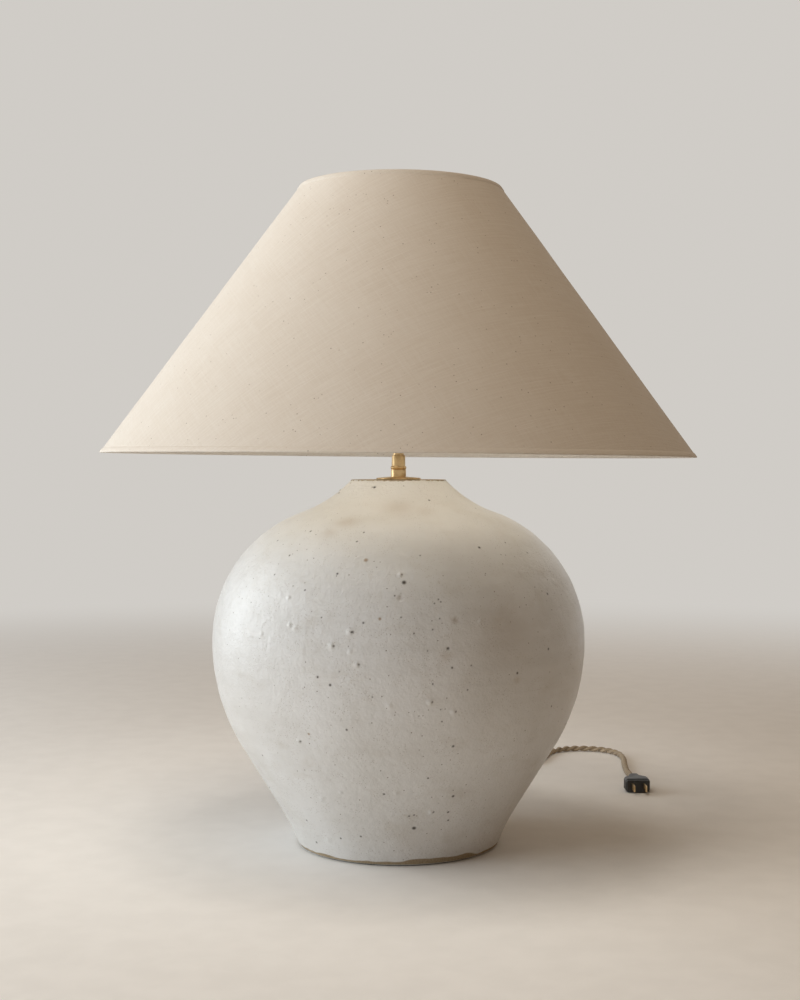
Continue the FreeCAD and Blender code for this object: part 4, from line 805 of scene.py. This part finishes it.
# How far each kind of mark rises, and how dark it is
RELIEF = {SPECK: 0.0001, RUST: 0.00015, BLISTER: 0.00105, BUMP: 0.0008, DENT: -0.0007, HOLE: -0.001}
DARK = {SPECK: 0.95, RUST: 0.1, BLISTER: 0.0, BUMP: 0.0, DENT: 0.1, HOLE: 0.9}
# The shallow pit beside each blister, on its right-hand side seen from outside: its shift, size and
# depth, and its painted shade, which stands for the blister's shaded side away from the window lamp
PINHOLE_SHIFT = 0.9
PINHOLE_SHARE = 0.42
PINHOLE_DEPTH = 0.0004
PINHOLE_PAINTED_SHADE = 0.7
RUST_STAIN = 0.85
STAIN_STRETCH = (1, 1, 1.3)
# The wall's throwing lines: height, how often they change round the wall and up it, and a start
THROWING = ((0.00045, 1.6, 9, 0), (0.00016, 0.7, 120, 0.5), (0.00010, 1.3, 330, 7))
# Its finer lumps: height, how often they change across and up
LUMPS = ((0.00016, 55, 70), (0.00007, 190, 210))
SKIN_REACH = 0.0012
FADE_HEIGHT = 0.001
CREAM_HEIGHTS = (0.262, 0.33)


def vessel_form(outer, marks):
    """The vessel's smooth form, cut finer where the marks go."""
    rim = (NECK_RADIUS - NECK_EDGE, NECK_HEIGHT)
    edge = arc((NECK_RADIUS, NECK_HEIGHT - NECK_EDGE), rim, NECK_EDGE, 1, NECK_STEP)
    profile = [tuple(p) for p in outer + edge[1:]] + [rim, (NECK_TOP_INNER, NECK_HEIGHT)]
    profile += inner_wall()
    made = lathe("glazed_vessel", profile, VESSEL_COLUMNS)
    mesh = bmesh.new()
    mesh.from_mesh(made.data)
    refine(mesh, marks)
    cut_exit(mesh)
    bmesh.ops.recalc_face_normals(mesh, faces=mesh.faces)
    mesh.to_mesh(made.data)
    mesh.free()
    return made


def hand_relief(spots, skin):
    """How far the throwing lines and lumps raise each point of the outer wall."""
    proud = np.zeros(len(spots))
    for i in np.nonzero(skin)[0]:
        x, y, z = spots[i]
        around = Vector((x, y, 0)).normalized()
        for rise, across, up_wall, start in THROWING:
            at = Vector((around.x * across, around.y * across, z * up_wall + start))
            proud[i] += rise * noise.noise(at)
        for rise, across, up_wall in LUMPS:
            proud[i] += rise * noise.noise(Vector((x * across, y * across, z * up_wall)))
    return proud


def mark_layers(spots, marks):
    """How far the marks raise each point, how dark they make it and how brown. The dark includes
    painted shade beside each blister.
    """
    proud, dark, stain = np.zeros(len(spots)), np.zeros(len(spots)), np.zeros(len(spots))
    for place, size, kind in marks:
        apart = np.linalg.norm(spots - np.array(place), axis=1) / size
        core = np.exp(-(apart**4))
        proud += RELIEF[kind] * np.exp(-(apart**2))
        dark = np.maximum(dark, DARK[kind] * core)
        if kind == RUST:
            stain = np.maximum(stain, RUST_STAIN * core)
        if kind == BLISTER:
            # A shallow pit on the blister's right-hand side, painted dark as painted shade of the
            # blister's side away from the window lamp
            side = Vector((-place.y, place.x, 0)).normalized() * size * PINHOLE_SHIFT
            hole = np.linalg.norm(spots - np.array(place + side), axis=1) / (size * PINHOLE_SHARE)
            proud -= PINHOLE_DEPTH * np.exp(-(hole**2))
            dark = np.maximum(dark, PINHOLE_PAINTED_SHADE * np.exp(-(hole**4)))
    for column, row, size, strength in SEEN_STAINS:
        place = seen_place(column, row)
        if place is None:
            continue
        apart = np.linalg.norm((spots - np.array(place)) * STAIN_STRETCH, axis=1) / size * 1000
        stain = np.maximum(stain, strength * np.exp(-(apart**2)))
    return proud, dark, stain


def vessel():
    outer = outer_wall()
    marks = vessel_marks()
    made = vessel_form(outer, marks)
    spots = np.empty(len(made.data.vertices) * 3, np.float32)
    made.data.vertices.foreach_get("co", spots)
    spots = spots.reshape(-1, 3).astype(float)
    radius = np.hypot(spots[:, 0], spots[:, 1])
    height = spots[:, 2]
    turn = np.arctan2(spots[:, 1], spots[:, 0])

    line = np.array([tuple(p) for p in outer])
    slope = np.gradient(line, axis=0)
    slope /= np.linalg.norm(slope, axis=1)[:, None]
    wall_at = np.interp(height, line[:, 1], line[:, 0])
    out = np.interp(height, line[:, 1], slope[:, 1])
    up = np.interp(height, line[:, 1], -slope[:, 0])
    from_seat = np.hypot(spots[:, 0], height - EXIT_HEIGHT)
    seat = (spots[:, 1] > 0) & (from_seat < SEAT_RADIUS * SEAT_BORDER)
    skin = (np.abs(radius - wall_at) < SKIN_REACH) & (height > FOOT_HEIGHT + TINY) & ~seat
    on_top = (height > NECK_HEIGHT - TINY) & (radius > NECK_TOP_INNER + NECK_STEP)

    bare = np.where(skin | on_top, bare_clay(turn, height), 0)
    bare = np.where((radius < wall_at - SKIN_REACH) & ~on_top, 1.0, bare)
    bare = np.where(seat, 1.0, bare)
    raised, dark, stain = mark_layers(spots, marks)
    proud = hand_relief(spots, skin) + np.where(skin, GLAZE_STEP * (1 - bare) + raised, 0)
    proud *= np.clip((height - FOOT_HEIGHT) / FADE_HEIGHT, 0, 1)
    proud *= np.clip((NECK_HEIGHT - height) / FADE_HEIGHT, 0, 1)
    spots[:, :2] += (proud * out / np.maximum(radius, 1e-6))[:, None] * spots[:, :2]
    spots[:, 2] += proud * up
    made.data.vertices.foreach_set("co", spots.astype(np.float32).ravel())
    made.data.update()
    made.data.set_sharp_from_angle(angle=SHARP_ANGLE)
    # The mark layer holds the specks and holes, and the painted shade beside each blister
    point_layer(made, "mark", dark)
    point_layer(made, "stain", stain)
    point_layer(made, "bare", bare)
    point_layer(made, "cream", smooth_step(*CREAM_HEIGHTS, height))
    stand_for(made, "base", "ceramic_body")


# Shade

shade_angle = math.atan((SHADE_BOTTOM_RADIUS - SHADE_TOP_RADIUS) / SHADE_HEIGHT)
slant_length = SHADE_HEIGHT / math.cos(shade_angle)
apex_bottom = SHADE_BOTTOM_RADIUS / math.sin(shade_angle)
lean = Matrix.Translation(LEAN_POINT) @ Matrix.Rotation(LEAN, 4, "Y")
lean @= Matrix.Translation(-LEAN_POINT)
BACK = math.pi / 2
WEAVE_TURN = math.radians(60)
SHADE_COLUMNS = 360
SHADE_ROW_STEP = 0.006


def slant(along, inward):
    """A radius and height so far up the shade's slope and so far in from the cloth's outside."""
    sin, cos = math.sin(shade_angle), math.cos(shade_angle)
    radius = SHADE_BOTTOM_RADIUS - along * sin - inward * cos
    return Vector((radius, SHADE_BOTTOM + along * cos - inward * sin))


def level(edge, inward, up=0.0):
    """How far up the slope a point lies that is level with the cloth's edge, or so far above."""
    return edge + (inward * math.sin(shade_angle) + up) / math.cos(shade_angle)


def flat_cut(along, turn):
    """The place in the flat cut of cloth that ends up so far up the slope and round the shade."""
    angle = turn * math.sin(shade_angle) + WEAVE_TURN
    distance = apex_bottom - along
    return at_turn(distance, angle, 0.0)


def skin_of_shade(name, outline, ripple=0.0):
    """A closed ring of cloth or lining. The outline gives its section as (along, inward) pairs."""
    points = []
    for along, inward in outline:
        for k in range(SHADE_COLUMNS):
            turn = BACK + math.pi * 2 * k / SHADE_COLUMNS
            wave = noise.noise(Vector(at_turn(CLOTH_WAVES[0], turn, along * CLOTH_WAVES[1])))
            radius, height = slant(along, inward - ripple * wave)
            points.append(lean @ Vector(at_turn(radius, turn, height)))
    made = mesh_object(name, points, grid_faces(len(outline), SHADE_COLUMNS, True, True))
    face_outwards(made)
    made.data.set_sharp_from_angle(angle=SHARP_ANGLE)
    corners = np.empty(len(made.data.loops), int)
    made.data.loops.foreach_get("vertex_index", corners)
    rows, columns = np.divmod(corners.reshape(-1, 4), SHADE_COLUMNS)
    at_seam = np.ptp(columns, axis=1) > 1
    columns[at_seam] = np.where(columns[at_seam] == 0, SHADE_COLUMNS, columns[at_seam])
    cuts = [
        flat_cut(outline[row][0], math.pi * (2 * column / SHADE_COLUMNS - 1))
        for row, column in zip(rows.ravel(), columns.ravel())
    ]
    vector_layer(made, "cut", cuts, "CORNER")
    return made


def sheet_outline(outer, inner):
    """The section of a sheet whose two ends are level."""
    rows = round(slant_length / SHADE_ROW_STEP)
    section = []
    for inward, shares in ((outer, range(rows + 1)), (inner, range(rows, -1, -1))):
        low, high = level(0, inward), level(slant_length, inward)
        section += [(low + (high - low) * k / rows, inward) for k in shares]
    return section


def fold(path, thickness):
    """The closed section of a folded strip that follows a path of (along, inward) pairs."""
    line = [Vector(p) for p in path]
    sides = []
    for i, here in enumerate(line):
        ahead = (line[min(i + 1, len(line) - 1)] - line[max(i - 1, 0)]).normalized()
        sides.append(Vector((-ahead.y, ahead.x)) * thickness / 2)
    left = [here + side for here, side in zip(line, sides)]
    right = [here - side for here, side in zip(line, sides)]
    return [tuple(p) for p in left + right[::-1]]


def hem_path(edge, out, lip):
    """A hem's middle line: down the outside, round the edge and a little way up inside."""
    half = TRIM_THICKNESS / 2
    back = -out
    far = TRIM_DEPTH + half
    corners = [
        Vector((edge + back * (TRIM_WIDTH - TRIM_TAPER), -half)),
        Vector((level(edge, -half, out * half), -half)),
        Vector((level(edge, far, out * half), far)),
        Vector((level(edge, far) + back * lip, far)),
    ]
    line = [Vector((edge + back * TRIM_WIDTH, half)), corners[0], corners[0].lerp(corners[1], 0.5)]
    for i in (1, 2):
        before, here, after = corners[i - 1], corners[i], corners[i + 1]
        first = here + (before - here).normalized() * TRIM_BEND
        last = here + (after - here).normalized() * TRIM_BEND
        line += [first.lerp(here, s).lerp(here.lerp(last, s), s) for s in (0, 0.25, 0.5, 0.75, 1)]
    return line + [corners[3]]


def shade():
    outline = sheet_outline(0.0, FABRIC_THICKNESS - LINER_GAP)
    fabric = skin_of_shade("shade_linen", outline, CLOTH_RIPPLE)
    stand_for(fabric, "shade", "shade_fabric")
    outline = sheet_outline(FABRIC_THICKNESS, FABRIC_THICKNESS + LINER_THICKNESS)
    lining = skin_of_shade("shade_inside", outline)
    stand_for(lining, "shade", "shade_liner")
    for name, node, edge, out, lip in (
        ("shade_top_hem", "top_trim", slant_length, 1, TOP_TRIM_LIP),
        ("shade_bottom_hem", "bottom_trim", 0.0, -1, BOTTOM_TRIM_LIP),
    ):
        hem = skin_of_shade(name, fold(hem_path(edge, out, lip), TRIM_THICKNESS))
        stand_for(hem, "shade", node)
    seam = shade_seam()


def shade_seam():
    """The lapped join at the back, where the cloth's end is turned under and glued."""
    points, cuts = [], []
    for k in range(SEAM_ROWS + 1):
        along = TRIM_WIDTH + (slant_length - 2 * TRIM_WIDTH) * k / SEAM_ROWS
        for across, out in SEAM_SECTION:
            radius, height = slant(along, -out)
            turn = BACK + across * SEAM_WIDTH / radius
            points.append(lean @ Vector(at_turn(radius, turn, height)))
            cuts.append(flat_cut(along, SEAM_CUT_TURN + turn))
    wide = len(SEAM_SECTION)
    faces = grid_faces(SEAM_ROWS + 1, wide, False, True)
    faces += [tuple(range(wide)), tuple(range(len(points) - wide, len(points)))]
    made = mesh_object("shade_seam", points, faces)
    vector_layer(made, "cut", cuts)
    face_outwards(made)
    dress(made, "linen")
    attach(made, "shade")
    return made


# Cord


def coil_points():
    """The coil's turns, spiralling in, climbing a layer about the middle, and out again."""
    count = round(COIL_TURNS * COIL_STEPS)
    points = []
    for k in range(count + 1):
        turns = COIL_TURNS * k / count
        inward = min(turns, COIL_TURNS - turns)
        radius = COIL_RADIUS - COIL_PITCH * inward
        climb = float(smooth_step(-1, 1, (turns - COIL_TURNS / 2) * COIL_STEPS))
        angle = math.pi - 2 * math.pi * turns
        x, y, z = at_turn(radius, angle, COIL_LOW + COIL_PITCH * climb)
        points.append((COIL_CENTRE[0] + x, COIL_CENTRE[1] + y, z))
    return points


def route_points(points):
    """Points along the smooth spline whose control points are given."""
    data = bpy.data.curves.new("cord_route", "CURVE")
    data.dimensions = "3D"
    spline = data.splines.new("NURBS")
    spline.points.add(len(points) - 1)
    for target, point in zip(spline.points, points):
        target.co = (*point, 1)
    spline.order_u = 3
    spline.use_endpoint_u = True
    spline.resolution_u = 16
    made = bpy.data.objects.new("cord_route", data)
    bpy.context.scene.collection.objects.link(made)
    bpy.context.view_layer.update()
    mesh = bpy.data.meshes.new_from_object(made)
    found = [v.co.copy() for v in mesh.vertices]
    bpy.data.objects.remove(made)
    bpy.data.meshes.remove(mesh)
    return found


def frames_along(line):
    """A side and an up direction at each point, carried along the line without twist."""
    heading = np.gradient(line, axis=0)
    heading /= np.linalg.norm(heading, axis=1)[:, None]
    side = np.cross(heading[0], (0, 0, 1))
    sides = []
    for ahead in heading:
        side = side - ahead * side.dot(ahead)
        side /= np.linalg.norm(side)
        sides.append(side)
    sides = np.array(sides)
    return sides, np.cross(sides, heading)


ROUTE_NODES = ("cord_base_run", "cord_coil", "cord_plug_run")
CORD_NODES = (*ROUTE_NODES, "coil_tie")


def twisted_cord():
    route = route_points(BASE_ROUTE + coil_points() + PLUG_ROUTE)
    line, at = evenly(route, CORD_STEP)
    side, up = frames_along(line)
    offset = CORD_DIAMETER / 2 - STRAND_RADIUS
    ring = STRAND_COLUMNS
    points, faces, runs = [], [], []
    for strand in range(2):
        turn = at * (2 * math.pi / STRAND_PITCH) + math.pi * strand
        centre = line + offset * (np.cos(turn)[:, None] * side + np.sin(turn)[:, None] * up)
        strand_side, strand_up = frames_along(centre)
        start = len(points)
        for i in range(len(centre)):
            for k in range(ring):
                angle = 2 * math.pi * k / ring
                out = math.cos(angle) * strand_side[i] + math.sin(angle) * strand_up[i]
                points.append(centre[i] + out * STRAND_RADIUS)
                runs.append((at[i] * BRAIDS_PER_METRE, angle, strand))
        tube = grid_faces(len(centre), ring, False, True)
        faces += [tuple(start + n for n in face) for face in tube]
        faces.append(tuple(start + k for k in range(ring)))
        faces.append(tuple(len(points) - 1 - k for k in range(ring)))
    made = mesh_object("twisted_cord", points, faces)
    vector_layer(made, "run", runs)
    stand_for(made, "base", *ROUTE_NODES)
    return made, line


TIE_WIDTH = 0.008
TIE_THICKNESS = 0.0008
TIE_TURN = math.radians(-60)
TIE_SIDES = (0.0239, 0.0500)
TIE_HEIGHTS = (0.0004, 0.0159)
TIE_CORNER = 0.004


def coil_strap():
    """A strap round the coil."""
    near, far = TIE_SIDES
    low, high = TIE_HEIGHTS
    loop = rounded([(near, low), (far, low), (far, high), (near, high)], TIE_CORNER, 6)
    place = Matrix.Translation((*COIL_CENTRE, 0)) @ Matrix.Rotation(TIE_TURN, 4, "Z")
    points = []
    for i, here in enumerate(loop):
        ahead = loop[(i + 1) % len(loop)] - loop[i - 1]
        out = Vector((ahead.y, -ahead.x)).normalized() * TIE_THICKNESS / 2
        for across, sign in ((-0.5, -1), (-0.5, 1), (0.5, 1), (0.5, -1)):
            spot = here + out * sign
            points.append(place @ Vector((spot.x, across * TIE_WIDTH, spot.y)))
    made = mesh_object("coil_strap", points, grid_faces(len(loop), 4, True, True))
    face_outwards(made)
    made.data.set_sharp_from_angle(angle=SHARP_ANGLE)
    stand_for(made, "base", "coil_tie")
    return made


def cords():
    cord, line = twisted_cord()
    strap = coil_strap()


# Foot and stage


FELT_WIDTH = 0.008
FELT_EDGE = 0.0003


def felt():
    low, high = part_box("base_felt")
    inner = high.x - FELT_WIDTH
    corners = [(inner, low.z), (high.x, low.z), (high.x, high.z), (inner, high.z)]
    section = rounded(corners, FELT_EDGE, 2)
    made = lathe("felt_ring", [tuple(p) for p in section], 240)
    stand_for(made, "base", "base_felt")


PALE = (0.63, 0.605, 0.57)
AMBIENT = (1.0, 0.655, 0.37)
AMBIENT_STRENGTH = 0.155
FLOOR_RINGS = (0.3, 0.7, 1.2, 2.0, 3.2, 5.0, 9.0)
FLOOR_COLUMNS = 64
FLOOR_FADE = (0.7, 2.6)


def floor():
    """A round floor that fades into the background."""
    turns = [2 * math.pi * k / FLOOR_COLUMNS for k in range(FLOOR_COLUMNS)]
    points = [(0, 0, 0)] + [at_turn(r, t, 0) for r in FLOOR_RINGS for t in turns]
    faces = [(0, 1 + k, 1 + (k + 1) % FLOOR_COLUMNS) for k in range(FLOOR_COLUMNS)]
    rings = grid_faces(len(FLOOR_RINGS), FLOOR_COLUMNS, False, True)
    faces += [tuple(n + 1 for n in face[::-1]) for face in rings]
    made = mesh_object("floor", points, faces)
    look = Look("floor", Roughness=0.85)
    at = look.place()
    grain = look.noise(at, 30, 4)
    tint = look.mix(look.range(grain, 0.3, 0.7), (0.83, 0.82, 0.80), (0.86, 0.85, 0.83))
    look.set(Base_Color=tint)
    away = look.node("VectorMath", {0: at}, operation="LENGTH").outputs["Value"]
    fade = look.range(away, *FLOOR_FADE)
    glow = look.node("Emission", {"Color": PALE, "Strength": 1.0})
    share = look.maths("MULTIPLY", fade, look.sees_stage())
    mixed = look.node("MixShader", {0: share, 1: look.shader.outputs[0], 2: glow.outputs[0]})
    output = look.tree.nodes["Material Output"]
    look.tree.links.new(mixed.outputs[0], output.inputs["Surface"])
    made.data.materials.append(look.material)


def world():
    """Plain warm light all round, behind a plain pale background."""
    made = bpy.data.worlds.new("studio")
    made.use_nodes = True
    made.node_tree.nodes.clear()
    bpy.context.scene.world = made
    sky = Nodes(made.node_tree)
    light = sky.node("Background", {"Color": AMBIENT, "Strength": AMBIENT_STRENGTH})
    pale = sky.node("Background", {"Color": PALE, "Strength": 1.0})
    shaders = {0: sky.sees_stage(), 1: light.outputs[0], 2: pale.outputs[0]}
    mixed = sky.node("MixShader", shaders)
    sky.node("OutputWorld", {"Surface": mixed.outputs[0]})


bpy.context.scene.view_settings.view_transform = "Standard"
add_camera()
cords()
for node, made in frame["nodes"].items():
    if node not in CORD_NODES:
        made.data.materials.clear()
        made.data.materials.append(LOOKS["brass" if node == "threaded_rod" else SLOT_OF[node]])
vessel()
shade()
felt()
floor()
world()
add_lamp("window", (-1.85, 0.42, 0.83), (0, 0, 0.47), 1.5, 1.6, 20.6, (0.88, 0.955, 1.0),
         mirrored=True)
add_lamp("front_fill", (-1.84, -0.92, 0.64), (0, 0, 0.3), 1.3, 1.5, 23.6, (0.89, 0.955, 1.0))
add_lamp("top_fill", (-0.35, -0.7, 2.1), (0, 0, 0.45), 0.9, 0.9, 12.2, (1.0, 0.87, 0.71))
add_lamp("back_fill", (0.9, 2.0, 1.3), (0, 0, 0.3), 1.4, 1.4, 5, (1.0, 0.86, 0.7))
add_lamp("shade_fill", (0, 0, 0.6), (0, 0, 0.3), 0.15, 0.15, 0.62, (1.0, 0.95, 0.88))
